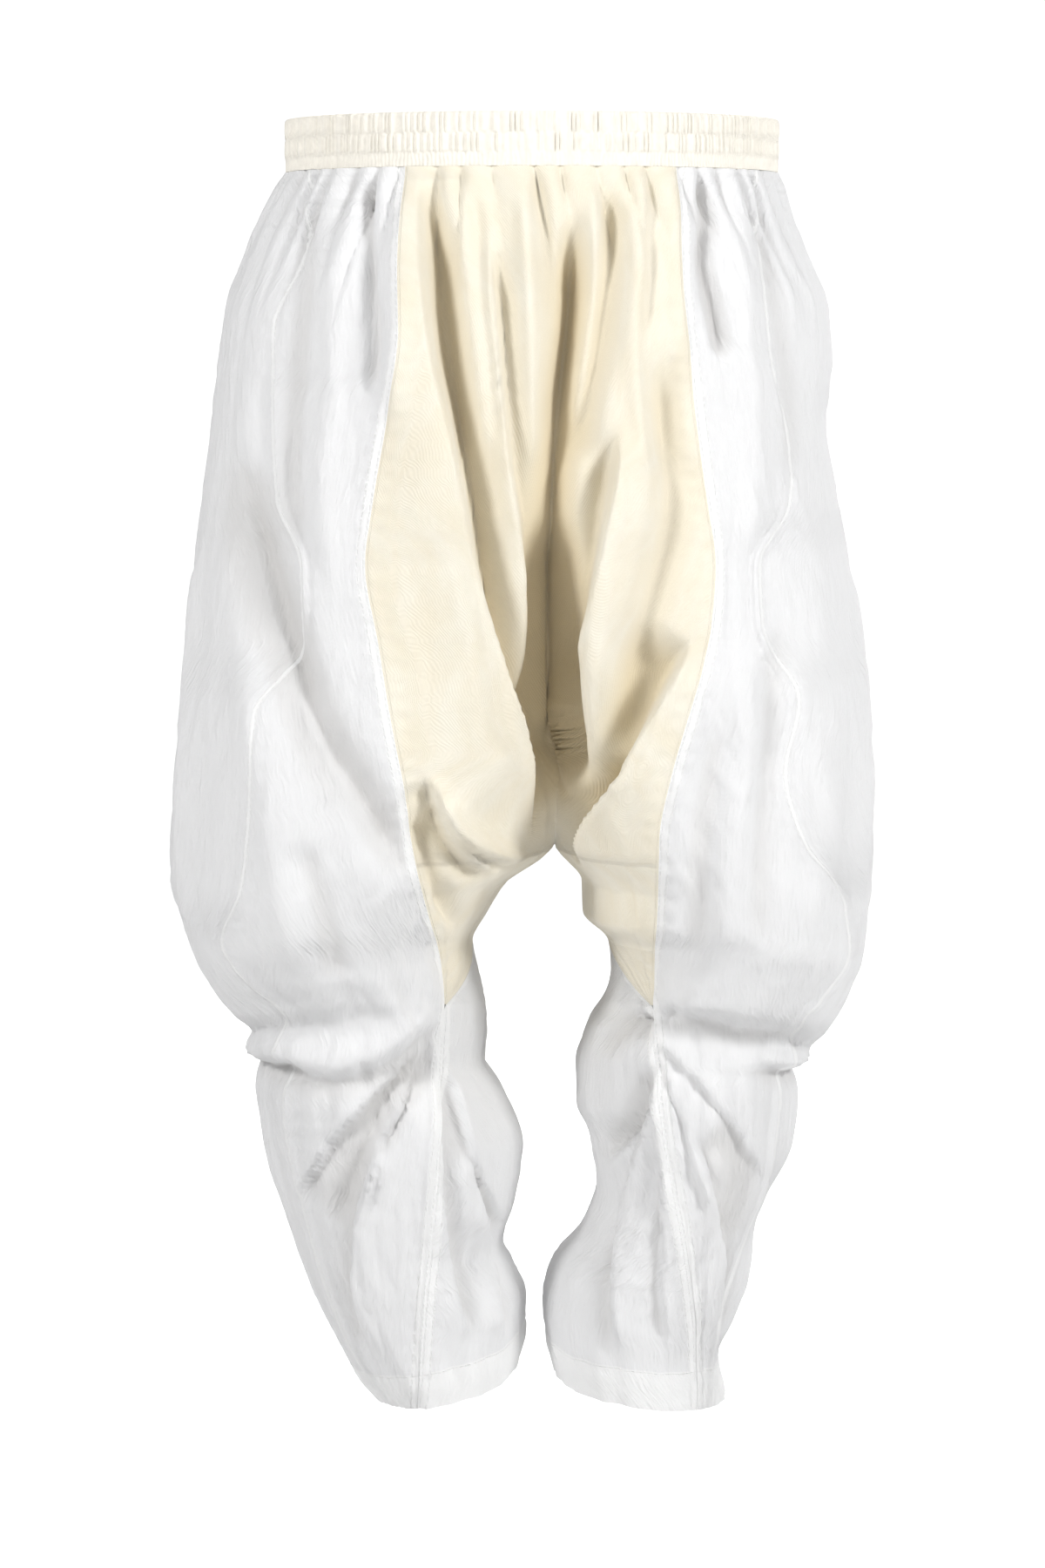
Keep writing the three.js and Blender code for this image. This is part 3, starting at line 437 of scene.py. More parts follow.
class Table:
    """Columns of values against height, read as smooth curves that never overshoot."""

    def __init__(self, names: tuple[str, ...], rows: tuple[tuple[float, ...], ...]) -> None:
        """Keeps each named column with its tangents; the first value of a row is z.

        Args:
            names: Names of the columns after z.
            rows: The rows, from the top down.
        """
        data = np.array(rows, dtype=float)[::-1]
        self.z = data[:, 0]
        self.columns = {}
        for index, name in enumerate(names, start=1):
            values = data[:, index]
            slopes = np.diff(values) / np.diff(self.z)
            before, after = slopes[:-1], slopes[1:]
            product = before * after
            total = np.where(product > 0, before + after, 1.0)
            inner = np.where(product > 0, 2 * product / total, 0.0)
            self.columns[name] = (values, np.concatenate([slopes[:1], inner, slopes[-1:]]))

    def at(self, name: str, z: Array) -> Array:
        """A column at each height.

        Args:
            name: The column.
            z: The heights.

        Returns:
            The column's value at each height.
        """
        values, tangents = self.columns[name]
        z = np.clip(z, self.z[0], self.z[-1])
        i = np.clip(np.searchsorted(self.z, z, side="right") - 1, 0, len(self.z) - 2)
        step = self.z[i + 1] - self.z[i]
        t = (z - self.z[i]) / step
        t2, t3 = t * t, t * t * t
        return (
            (2 * t3 - 3 * t2 + 1) * values[i] + (t3 - 2 * t2 + t) * step * tangents[i]
            + (3 * t2 - 2 * t3) * values[i + 1] + (t3 - t2) * step * tangents[i + 1]
        )

    @property
    def foot(self) -> float:
        """The lowest height of the table."""
        return float(self.z[0])


class FoldPath:
    """A fold's path as short straight pieces, and the height of the fold near it."""

    STEPS = 5
    REACH = 2.6

    def __init__(self, fold: Fold) -> None:
        """Rounds the path through its points.

        Args:
            fold: The fold.
        """
        self.fold = fold
        given = np.array(fold.path, dtype=float)
        padded = np.vstack([2 * given[0] - given[1], given, 2 * given[-1] - given[-2]])
        points = [given[0]]
        for i in range(len(given) - 1):
            p0, p1, p2, p3 = padded[i:i + 4]
            for k in range(1, self.STEPS + 1):
                t = k / self.STEPS
                points.append(0.5 * (2 * p1 + (p2 - p0) * t + (2 * p0 - 5 * p1 + 4 * p2 - p3) * t * t
                                     + (3 * p1 - p0 - 3 * p2 + p3) * t ** 3))
        self.points = np.array(points)
        steps = np.diff(self.points, axis=0)
        self.lengths = np.hypot(steps[:, 0], steps[:, 1])
        self.directions = steps / self.lengths[:, None]
        self.runs = np.concatenate([[0.0], np.cumsum(self.lengths)])
        reach = self.REACH * max(fold.left_width, fold.right_width)
        self.low = self.points.min(axis=0) - reach
        self.high = self.points.max(axis=0) + reach

    def height(self, across: Array, z: Array) -> Array:
        """How far the fold moves the cloth out at each (across, z).

        Args:
            across: Places across the fold's face.
            z: Heights.

        Returns:
            The height of the fold at each place.
        """
        nearest = np.full(across.shape, np.inf)
        signed = np.zeros(across.shape)
        along = np.zeros(across.shape)
        for start, (da, dz), length, run in zip(
                self.points, self.directions, self.lengths, self.runs):
            t = np.clip((across - start[0]) * da + (z - start[1]) * dz, 0, length)
            ra = across - start[0] - t * da
            rz = z - start[1] - t * dz
            distance = np.hypot(ra, rz)
            closer = distance < nearest
            nearest = np.where(closer, distance, nearest)
            signed = np.where(closer, np.sign(ra * dz - rz * da) * distance, signed)
            along = np.where(closer, (run + t) / self.runs[-1], along)
        fold = self.fold
        fade = smooth(0, FOLD_FADE, along) * smooth(0, FOLD_FADE, 1 - along)
        left = fold.left_high * np.exp(-((signed / fold.left_width) ** 2))
        right = fold.right_high * np.exp(-((signed / fold.right_width) ** 2))
        crisp = fold.crisp * CRISP_SHARE
        return fade * mix(left, right, smooth(-crisp, crisp, signed))


def levelled(directions: Array) -> Array:
    """Directions turned level, of length 1."""
    level = directions * (1, 1, 0)
    return level / np.linalg.norm(level, axis=-1, keepdims=True)


@dataclass(frozen=True)
class Side:
    """One side of the garment: its sections, seams and the slope of its hem."""

    name: str
    out: int
    sections: Table
    seams: Table
    hem_right: float
    hem_front: float

    def base(self, angle: Array, z: Array) -> Array:
        """Points of the smooth surface: angle 0 is the inner leg, a quarter turn the back.

        Args:
            angle: Angles round the side.
            z: Heights before the knee and hem are shifted.

        Returns:
            The points, in millimetres.
        """
        outer, inner = self.sections.at("outer", z), self.sections.at("inner", z)
        power = 2 / self.sections.at("square", z)
        c, s = np.cos(angle), np.sin(angle)
        eased = smooth(INNER_LOW, INNER_HIGH, c) * smooth(GORE_TOP + EASE_RUN, GORE_TOP, z)
        depth = np.where(s > 0, self.depth("back", z, eased), self.depth("front", z, eased))
        x = (outer + inner) / 2 + (inner - outer) / 2 * np.sign(c) * np.abs(c) ** power
        y = depth * np.abs(s) ** power
        turn = np.abs((angle + math.pi) % TURN - math.pi)
        window = smooth(SADDLE, KNEE, z) * smooth(RAISE_END, KNEE, z)
        lift = KNEE_RAISE * window * (1 + np.cos(turn - KNEE_ANGLE)) / 2
        slope = smooth(HEM_SLOPE_START, self.sections.foot, z)
        hem = slope * (self.hem_right * (x - (outer + inner) / 2) + self.hem_front * y)
        return np.stack([x, y, z + lift + hem], axis=-1)

    @property
    def outer_face(self) -> Face:
        """Name of the face away from the other leg."""
        return Face.LEFT if self.name == "left" else Face.RIGHT

    def depth(self, face: str, z: Array, eased: Array) -> Array:
        """Depth to the back or front, its knee step eased away by a share.

        Args:
            face: The table's column, back or front.
            z: Heights.
            eased: Share of the easing at each place.

        Returns:
            The depths.
        """
        plain = self.sections.at(face, z)
        even = sum(self.sections.at(face, z + step) for step in KNEE_EASE) / len(KNEE_EASE)
        return mix(plain, even, eased)

    def normal(self, angle: Array, z: Array) -> Array:
        """Outward directions of the smooth surface.

        Args:
            angle: Angles round the side.
            z: Heights before the knee and hem are shifted.

        Returns:
            Directions of length 1.
        """
        reach, turn = 2.5, 0.025
        around = self.base(angle + turn, z) - self.base(angle - turn, z)
        up = self.base(angle, z + reach) - self.base(angle, z - reach)
        across = np.cross(around, up) * self.out
        return across / np.linalg.norm(across, axis=-1, keepdims=True)

    def angle_at(self, x: Array, z: Array) -> Array:
        """Angle on the back half where the section crosses x.

        Args:
            x: Places from left to right.
            z: Heights.

        Returns:
            The angles.
        """
        outer, inner = self.sections.at("outer", z), self.sections.at("inner", z)
        square = self.sections.at("square", z)
        share = np.clip((x - (outer + inner) / 2) / ((inner - outer) / 2), -1, 1)
        return np.arccos(np.sign(share) * np.abs(share) ** (square / 2))

    def centre(self, z: Array) -> Array:
        """Angle of the centre line, and 0 where the legs have parted."""
        return np.where(z > SADDLE, self.angle_at(CENTRE.at("x", z), z), 0.0)

    def seam(self, which: "Seam", z: Array) -> Array:
        """Angle of a seam at each height.

        Args:
            which: The seam.
            z: Heights.

        Returns:
            The angles.
        """
        cream = self.seams.at("cream", z)
        back = self.angle_at(cream, z)
        front = TURN - self.angle_at(cream * FRONT_CREAM, z)
        gore = np.clip((GORE_TOP - z) / (GORE_TOP - KNEE), 0, 1)
        outer = self.seams.at("outer", z)
        return {
            Seam.CENTRE_BACK: lambda: np.where(z > GORE_TOP, self.centre(z), gore * back),
            Seam.CENTRE_FRONT: lambda: TURN + np.where(
                z > GORE_TOP, -self.centre(z), gore * (front - TURN)),
            Seam.CREAM_BACK: lambda: back,
            Seam.OUTER_BACK: lambda: self.angle_at(outer, z),
            Seam.OUTER_FRONT: lambda: TURN - self.angle_at(outer * FRONT_OUTER, z),
            Seam.CREAM_FRONT: lambda: front,
            Seam.INNER_FRONT: lambda: gore * (front - TURN),
            Seam.INNER_BACK: lambda: gore * back,
        }[which]()

    def gathers(self, angle: Array, z: Array) -> Array:
        """Small gathers that fall from the band, each with its own length.

        Args:
            angle: Angles round the side.
            z: Heights before the knee and hem are shifted.

        Returns:
            How far the gathers stand out.
        """
        start = self.centre(z)
        count = (angle - start) / (TURN - 2 * start) * WAIST_GATHERS / 2
        pick = scatter(np.floor(count + 0.5) + 31 * self.out)
        length = mix(GATHER_SHORTEST, GATHER_LONGEST, pick)
        fall = smooth(PANEL_TOP, PANEL_TOP - GATHER_FALL, z) * 0.5 + 0.5
        t = np.clip((PANEL_TOP - z) / length, 0, 1)
        turn = math.pi * (count + GATHER_SWAY * np.sin(TURN * count * GATHER_DRIFT))
        sharp = 2 * np.abs(np.cos(turn)) ** 0.7 - 1.35
        return GATHER_DEPTH * fall * (1 - t * t * (3 - 2 * t)) * sharp

    def folded(self, angle: Array, z: Array) -> tuple[Array, Array]:
        """Points of the surface moved out by its folds and gathers, and how far.

        Args:
            angle: Angles round the side.
            z: Heights before the knee and hem are shifted.

        Returns:
            The points, and how far each was moved out.
        """
        points, out = self.base(angle, z), self.normal(angle, z)
        faces = {
            Face.BACK: (points[..., 0], -out[..., 1]),
            Face.FRONT: (points[..., 0], out[..., 1]),
            self.outer_face: (points[..., 1], np.where(np.cos(angle) < 0, np.abs(out[..., 0]), 0)),
        }
        height = self.gathers(angle, z)
        level = points[..., 2]
        for path in FOLD_PATHS:
            if path.fold.face not in faces:
                continue
            across, facing = faces[path.fold.face]
            weight = smooth(FACING_LOW, FACING_HIGH, facing)
            near = ((weight > 0) & (across > path.low[0]) & (across < path.high[0])
                    & (level > path.low[1]) & (level < path.high[1]))
            if near.any():
                height[near] += weight[near] * path.height(across[near], level[near])
        return points + levelled(out) * height[..., None], height


class Seam(Enum):
    """A seam, by where it runs on its side."""

    CENTRE_BACK = "centre_back"
    CENTRE_FRONT = "centre_front"
    CREAM_BACK = "cream_back"
    OUTER_BACK = "outer_back"
    OUTER_FRONT = "outer_front"
    CREAM_FRONT = "cream_front"
    INNER_FRONT = "inner_front"
    INNER_BACK = "inner_back"


SECTION_NAMES = ("outer", "inner", "back", "front", "square")
SEAM_NAMES = ("cream", "outer")
CENTRE = Table(("x",), CENTRE_LINE)
FOLD_PATHS = [FoldPath(fold) for fold in FOLDS + FINE_FOLDS]
LEFT = Side("left", -1, Table(SECTION_NAMES, LEFT_SECTIONS), Table(SEAM_NAMES, LEFT_SEAMS), 0.2, 0.09)
RIGHT = Side("right", 1, Table(SECTION_NAMES, RIGHT_SECTIONS), Table(SEAM_NAMES, RIGHT_SEAMS),
             -0.14, 0.02)


class Held(Enum):
    """How a piece of cloth is held, in the words of the frame."""

    GATHERED = "gathered"
    HUNG = "hung"


class Slot(Enum):
    """The record's material slots."""

    WAISTBAND = "waistband"
    CREAM = "cream_twill"
    WHITE = "white_cloth"
    POCKET = "pocket_cloth"


@dataclass(frozen=True)
class Cut:
    """The flat cut of a piece, in metres and square metres, and how it is held."""

    width: float
    length: float
    area: float
    held: Held
    rests_on: tuple[str, ...] = ()


@dataclass(frozen=True)
class Crinkle:
    """The fine washed crinkle of a cloth, in millimetres."""

    height: float
    width: float
    length: float
    soft_height: float
    soft_width: float
    soft_length: float
    pucker: float
    seed: float


class Grid:
    """A net of points in rows, with the facts that the cloth's finish reads."""

    def __init__(self, points: Array, closed_first: bool = True, closed_last: bool = True) -> None:
        """Takes points of shape (rows, columns, 3) in millimetres.

        Args:
            points: The points, rows from the top down and columns in order of angle.
            closed_first: Whether the first column is a sewn seam.
            closed_last: Whether the last column is a sewn seam.
        """
        self.points = points
        steps = np.linalg.norm(np.diff(points, axis=1), axis=2)
        zero = np.zeros((points.shape[0], 1))
        self.across = np.hstack([zero, np.cumsum(steps, axis=1)])
        self.width = self.across[:, -1:]
        drops = np.linalg.norm(np.diff(points, axis=0), axis=2)
        self.down = np.vstack([np.zeros((1, points.shape[1])), np.cumsum(drops, axis=0)])
        far = np.full(self.across.shape, NOWHERE)
        self.first = self.across if closed_first else far
        self.last = self.width - self.across if closed_last else far

    def normals(self, out: int) -> Array:
        """Outward directions of the net.

        Args:
            out: Which way the columns turn.

        Returns:
            Directions of length 1.
        """
        around = np.gradient(self.points, axis=1)
        down = np.gradient(self.points, axis=0)
        across = np.cross(down, around) * out
        size = np.linalg.norm(across, axis=2, keepdims=True)
        return across / np.maximum(size, 1e-9)

    def area(self) -> float:
        """Area of the net in square metres."""
        a = self.points[1:, 1:] - self.points[:-1, :-1]
        b = self.points[1:, :-1] - self.points[:-1, 1:]
        return float(np.linalg.norm(np.cross(a, b), axis=2).sum() / 2 * MM * MM)


def crinkled(grid: Grid, side: Side, crinkle: Crinkle, around: Array, level: Array,
             groove: tuple[float, float]) -> Array:
    """The net's points with fine crinkles and puckered seams.

    Args:
        grid: The net.
        side: The side that it belongs to.
        crinkle: Sizes of the crinkle.
        around: Place round the side in millimetres, the same in all the side's pieces.
        level: Height of each point in millimetres.
        groove: Depth of the groove along the first and the last seam.

    Returns:
        The moved points.
    """
    seed = crinkle.seed
    bend = noise(around / BEND_WIDTH, level / BEND_LENGTH, seed + 5) * BEND_REACH
    fine_x, fine_y = (around + bend) / crinkle.width, level / crinkle.length
    sharp = 1 - 2 * np.abs(noise(fine_x, fine_y, seed))
    finer = noise(fine_x * FINER_ACROSS + 7, fine_y * FINER_DOWN, seed + 1)
    sharp += FINER_SHARE * (1 - 2 * np.abs(finer))
    patches = smooth(-0.4, 0.5, noise(around / PATCH_WIDTH, level / PATCH_LENGTH, seed + 2))
    patch = mix(PATCH_LEAST, 1.0, patches)
    soft = noise((around + 2 * bend) / crinkle.soft_width, level / crinkle.soft_length, seed + 3)
    from_seam = np.minimum(grid.first, grid.last)
    wave = np.sin(level * TURN / PUCKER_PITCH + 2.2 * noise(level / 30, around * 0, seed + 4))
    pucker = crinkle.pucker * wave * np.exp(-((from_seam - PUCKER_REACH) / PUCKER_REACH) ** 2)
    height = (sharp - SHARP_MEAN) * crinkle.height * patch + soft * crinkle.soft_height + pucker
    height *= smooth(0, PUCKER_REACH, from_seam) * smooth(0, TOP_EASE, grid.down)
    grooves = [np.exp(-((far / GROOVE_WIDTH) ** 2)) * depth for far, depth in
               ((grid.first, groove[0]), (grid.last, groove[1]))]
    height -= grooves[0] + grooves[1]
    return grid.points + grid.normals(side.out) * height[..., None]


class ClothPiece:
    """One piece of cloth: nets joined into a thin wall that stands for a CAD node."""

    WALL = 0.8

    def __init__(self, node: str, slot: Slot, cut: Cut, material: bpy.types.Material) -> None:
        """Starts an empty piece.

        Args:
            node: The CAD node that the piece stands for.
            slot: The record's slot; not used.
            cut: The flat cut.
            material: The cloth's finish.
        """
        self.node, self.slot, self.cut, self.material = node, slot, cut, material
        self.points: list[Array] = []
        self.faces: list[Array] = []
        self.facts: list[Array] = []
        self.count = 0
        self.area = 0.0

    def add(self, grid: Grid, out: int, hem_above: Array | None = None,
            strips: tuple[float, float] = (1.0, 1.0), recess: Array | None = None) -> None:
        """Adds a net.

        Args:
            grid: The net.
            out: Which way its columns turn.
            hem_above: Height of each point above the hem, in millimetres.
            strips: How wide the allowance of the first and the last seam is on this piece.
            recess: How far each point lies back in a fold, in millimetres; the white and cream cloths paint
                shade into the folds from it.
        """
        rows, columns = grid.points.shape[:2]
        index = np.arange(rows * columns).reshape(rows, columns) + self.count
        corners = [index[:-1, :-1], index[1:, :-1], index[1:, 1:], index[:-1, 1:]]
        if out < 0:
            corners.reverse()
        self.faces.append(np.stack([c.ravel() for c in corners], axis=1))
        self.points.append(grid.points.reshape(-1, 3) * MM)
        hem = np.full(grid.across.shape, NOWHERE) if hem_above is None else hem_above
        none = np.full(grid.across.shape, NOWHERE)
        first = grid.first / strips[0] if strips[0] else none
        last = grid.last / strips[1] if strips[1] else none
        depth = np.zeros(grid.across.shape) if recess is None else recess
        facts = [grid.across, grid.down, first, last, hem, depth]
        self.facts.append(np.stack([f.ravel() for f in facts], axis=1) * MM)
        self.count += rows * columns
        self.area += grid.area()

    def make(self) -> bpy.types.Object:
        """Returns:
            The piece.
        """
        points, faces = np.vstack(self.points), np.vstack(self.faces)
        facts = np.vstack(self.facts)
        mesh = bpy.data.meshes.new(self.node + "_cloth")
        mesh.from_pydata(points.tolist(), [], faces.tolist())
        for column, name in ((2, "first_seam"), (3, "last_seam"), (4, "above_hem"), (5, "recess")):
            layer = mesh.attributes.new(name, "FLOAT", "POINT")
            layer.data.foreach_set("value", facts[:, column].astype(np.float32))
        loops = np.zeros(len(mesh.loops), dtype=np.int32)
        mesh.loops.foreach_get("vertex_index", loops)
        uv = mesh.uv_layers.new(name="UVMap")
        uv.data.foreach_set("uv", facts[loops, :2].astype(np.float32).ravel())
        piece = bpy.data.objects.new(self.node + "_cloth", mesh)
        bpy.context.scene.collection.objects.link(piece)
        mesh.materials.append(self.material)
        self.weld(mesh)
        mesh.shade_smooth()
        wall = piece.modifiers.new("wall", "SOLIDIFY")
        wall.thickness = self.WALL * MM
        wall.offset = -1
        wall.use_even_offset = False
        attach(piece, "root")
        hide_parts(self.node)
        [n + "_cloth" for n in self.cut.rests_on]
        LOG.info("%s: %d faces, %.3f m2 shown, %.3f m2 cut", piece.name, len(mesh.polygons),
                 self.area, self.cut.area)
        return piece

    @staticmethod
    def weld(mesh: bpy.types.Mesh) -> None:
        """Joins the nets where they share their edges, and marks the open edges sharp.

        Args:
            mesh: The mesh, which is changed.
        """
        made = bmesh.new()
        made.from_mesh(mesh)
        bmesh.ops.remove_doubles(made, verts=made.verts, dist=2e-5)
        bmesh.ops.dissolve_degenerate(made, edges=made.edges, dist=1e-6)
        for edge in made.edges:
            edge.smooth = not edge.is_boundary
        made.to_mesh(mesh)
        made.free()


@dataclass(frozen=True)
class Mesh:
    """How finely the nets are made, in millimetres."""

    row: float = 3.2
    column: float = 3.2


class Tailor:
    """Makes the nets of panels between seams."""

    def __init__(self, mesh: Mesh) -> None:
        """Takes the fineness of the nets."""
        self.mesh = mesh

    def rows(self, top: float, foot: float) -> Array:
        """Heights from top to foot."""
        count = max(2, round((top - foot) / self.mesh.row))
        return np.linspace(top, foot, count + 1)

    def net(self, side: Side, first: Seam, last: Seam, rows: Array, columns: int) -> Array:
        """Angles and heights of a net between two seams.

        Args:
            side: The side.
            first: The seam of the first column.
            last: The seam of the last column.
            rows: Heights of the rows.
            columns: How many strips lie between the seams.

        Returns:
            The angles, then the heights.
        """
        start, end = side.seam(first, rows), side.seam(last, rows)
        share = np.linspace(0, 1, columns + 1)[None, :]
        angle = start[:, None] + (end - start)[:, None] * share
        return np.stack([angle, np.broadcast_to(rows[:, None], angle.shape)])

    def around(self, angle: Array) -> Array:
        """Place round a side in millimetres."""
        return angle * ROUND_SIDE


def meet(first: Array, last: Array, rows: Array, reach: float = 26.0) -> None:
    """Draws the first columns of two nets together to their common middle, above the saddle.

    Args:
        first: Points of one net, whose first column meets the other's.
        last: Points of the other net, whose first column meets it.
        rows: The heights of the rows.
        reach: How far the change eases off, in millimetres.
    """
    share = (rows >= SADDLE)[:, None, None].astype(float)
    gap = (last[:, :1] - first[:, :1]) / 2
    for points, way in ((first, 1), (last, -1)):
        steps = np.linalg.norm(np.diff(points, axis=1), axis=2)
        far = np.hstack([np.zeros((len(rows), 1)), np.cumsum(steps, axis=1)])
        points += way * gap * np.exp(-((far / reach) ** 2))[..., None] * share


class CreamPanel:
    """The opaque panel from the band through the low crotch to the knees, back or front."""

    COLUMNS = 58
    KNEE_OVERLAP = 1.5
    SEAM_GROOVE = 0.3
    MIDDLE_EASE = 24.0
    SPREAD_RUN = 110.0

    def __init__(self, tailor: Tailor, cloth: bpy.types.Material, crinkle: Crinkle) -> None:
        """Takes what the panel is made with."""
        self.tailor, self.cloth, self.crinkle = tailor, cloth, crinkle

    def make(self, front: bool, cut: Cut) -> bpy.types.Object:
        """Makes the back or the front panel.

        Args:
            front: Whether it is the front panel.
            cut: Its flat cut.

        Returns:
            The piece.
        """
        node = "centre_front_panel" if front else "centre_back_panel"
        piece = ClothPiece(node, Slot.CREAM, cut, self.cloth)
        rows = self.tailor.rows(PANEL_TOP, KNEE + self.KNEE_OVERLAP)
        first, last = ((Seam.CENTRE_FRONT, Seam.CREAM_FRONT) if front
                       else (Seam.CENTRE_BACK, Seam.CREAM_BACK))
        nets, points, heights = {}, {}, {}
        for side in (LEFT, RIGHT):
            angle, z = self.tailor.net(side, first, last, rows, self.COLUMNS)
            angle = self.spread(side, angle, rows, front)
            nets[side.name] = angle
            points[side.name], heights[side.name] = side.folded(angle, z)
        meet(points["left"], points["right"], rows)
        for side in (LEFT, RIGHT):
            grid = Grid(points[side.name], closed_first=False)
            angle = nets[side.name]
            around = self.tailor.around(np.abs(angle - (TURN if front else 0))) * -side.out
            level = grid.points[..., 2]
            moved = crinkled(grid, side, self.crinkle, around, level, (0.0, self.SEAM_GROOVE))
            ease = smooth(0, self.MIDDLE_EASE, grid.across)[..., None]
            grid.points = grid.points + (moved - grid.points) * ease
            parted = Grid(grid.points, closed_first=False)
            seam = np.where((rows <= SADDLE)[:, None], parted.across, NOWHERE)
            parted.first = np.minimum(seam, NOWHERE)
            piece.add(parted, side.out * (-1 if front else 1), recess=-heights[side.name])
        return piece.make()

    def spread(self, side: Side, angle: Array, rows: Array, front: bool) -> Array:
        """Angles of the net with its columns running straight on past the saddle.

        Args:
            side: The side.
            angle: Angles of the net.
            rows: Heights of the rows.
            front: Whether it is the front panel.

        Returns:
            The new angles.
        """
        share = np.linspace(0, 1, angle.shape[1])[None, :]
        end = TURN - angle[:, -1:] if front else angle[:, -1:]
        centre = side.centre(rows)[:, None]
        start = centre * smooth(SADDLE, SADDLE + self.SPREAD_RUN, rows)[:, None]
        straight = np.maximum(centre, start + (end - start) * share)
        straight = TURN - straight if front else straight
        return np.where((rows > GORE_TOP)[:, None], straight, angle)


@dataclass(frozen=True)
class PanelPlan:
    """Where a white panel runs: its seams, columns, top, and its share of each seam allowance."""

    first: Seam
    last: Seam
    columns: int
    top: float
    strips: tuple[float, float]


class LegPanels:
    """The sheer white panels of one side."""

    INNER = "inner_leg_panel"
    PLANS = {
        "back_panel": PanelPlan(Seam.CREAM_BACK, Seam.OUTER_BACK, 46, PANEL_TOP, (1.0, 0.0)),
        "side_panel": PanelPlan(Seam.OUTER_BACK, Seam.OUTER_FRONT, 128, PANEL_TOP, (0.55, 0.55)),
        "front_panel": PanelPlan(Seam.OUTER_FRONT, Seam.CREAM_FRONT, 46, PANEL_TOP, (0.0, 1.0)),
        INNER: PanelPlan(Seam.INNER_FRONT, Seam.INNER_BACK, 66, GORE_TOP - 4, (0.0, 1.0)),
    }
    SEAM_GROOVE = 0.3
    HEM_STEP, HEM_SOFT = 0.7, 1.5
    HEM_GROOVE, HEM_STITCH = 0.9, 3.0

    def __init__(self, side: Side, tailor: Tailor, cloth: bpy.types.Material,
                 crinkle: Crinkle) -> None:
        """Takes the side and what its panels are made with."""
        self.side, self.tailor, self.cloth, self.crinkle = side, tailor, cloth, crinkle

    def inner_angles(self, angle: Array, rows: Array) -> Array:
        """Angles of the inner panel, which runs from seam to seam below the knee.

        Args:
            angle: Angles of the net above the knee.
            rows: Heights of the rows.

        Returns:
            The new angles.
        """
        start = self.side.seam(Seam.CREAM_FRONT, rows) - TURN
        end = self.side.seam(Seam.CREAM_BACK, rows)
        share = np.linspace(0, 1, angle.shape[1])[None, :]
        lower = start[:, None] + (end - start)[:, None] * share
        return np.where((rows > KNEE)[:, None], angle, lower)

    def panel(self, name: str, cut: Cut) -> bpy.types.Object:
        """Makes one panel from its top down to the hem.

        Args:
            name: The panel's name in the plans.
            cut: Its flat cut.

        Returns:
            The piece.
        """
        side, plan = self.side, self.PLANS[name]
        rows = self.tailor.rows(plan.top, side.sections.foot)
        angle, z = self.tailor.net(side, plan.first, plan.last, rows, plan.columns)
        if name == self.INNER:
            angle = self.inner_angles(angle, rows)
        points, height = side.folded(angle, z)
        grid = Grid(points)
        above_hem = grid.down[-1:, :] - grid.down
        grooves = tuple(self.SEAM_GROOVE * strip ** 2 for strip in plan.strips)
        grid.points = crinkled(grid, side, self.crinkle, self.tailor.around(angle),
                               grid.points[..., 2], grooves)
        made = Grid(grid.points)
        edge = smooth(HEM_TURN_UP - self.HEM_SOFT, HEM_TURN_UP + self.HEM_SOFT, above_hem)
        raised = self.HEM_STEP * (1 - edge)
        from_stitch = above_hem - HEM_TURN_UP + self.HEM_STITCH
        grooved = -self.HEM_GROOVE * np.exp(-((from_stitch / GROOVE_WIDTH) ** 2))
        made.points = made.points + made.normals(side.out) * (raised + grooved)[..., None]
        piece = ClothPiece(side.name + "_" + name, Slot.WHITE, cut, self.cloth)
        piece.add(made, side.out, above_hem, plan.strips, -height)
        return piece.make()

    def make(self, cuts: dict[str, Cut]) -> list[bpy.types.Object]:
        """Makes the four panels."""
        return [self.panel(name, cuts[name]) for name in self.PLANS]


class PocketBag:
    """A pocket bag that hangs inside the side panel."""

    TOP, FOOT = -12.0, -240.0
    END_ANGLE = math.pi + 0.4
    BOW, BOW_START = 26.0, 0.45
    COLUMNS = 41

    def __init__(self, side: Side, tailor: Tailor, cloth: bpy.types.Material) -> None:
        """Takes the side and what the bag is made with."""
        self.side, self.tailor, self.cloth = side, tailor, cloth

    def make(self, cut: Cut) -> bpy.types.Object:
        """Makes the bag.

        Args:
            cut: Its flat cut.

        Returns:
            The piece.
        """
        side = self.side
        rows = self.tailor.rows(self.TOP, self.FOOT)
        start = side.seam(Seam.OUTER_BACK, rows)[:, None]
        share = np.linspace(0, 1, self.COLUMNS)[None, :]
        foot = self.TOP - self.FOOT
        bow = self.BOW * np.clip(np.abs(share - 0.5) * 2 - self.BOW_START, 0, 1) ** 2
        level = rows[:, None] + bow * ((self.TOP - rows) / foot)[:, None]
        angle = start + (self.END_ANGLE - start) * share
        z = np.broadcast_to(level, angle.shape).copy()
        points, _ = side.folded(angle, z)
        points -= levelled(side.normal(angle, z)) * POCKETS.at("depth", z)[..., None]
        piece = ClothPiece(side.name + "_pocket_bag", Slot.POCKET, cut, self.cloth)
        piece.add(Grid(points), side.out)
        return piece.make()


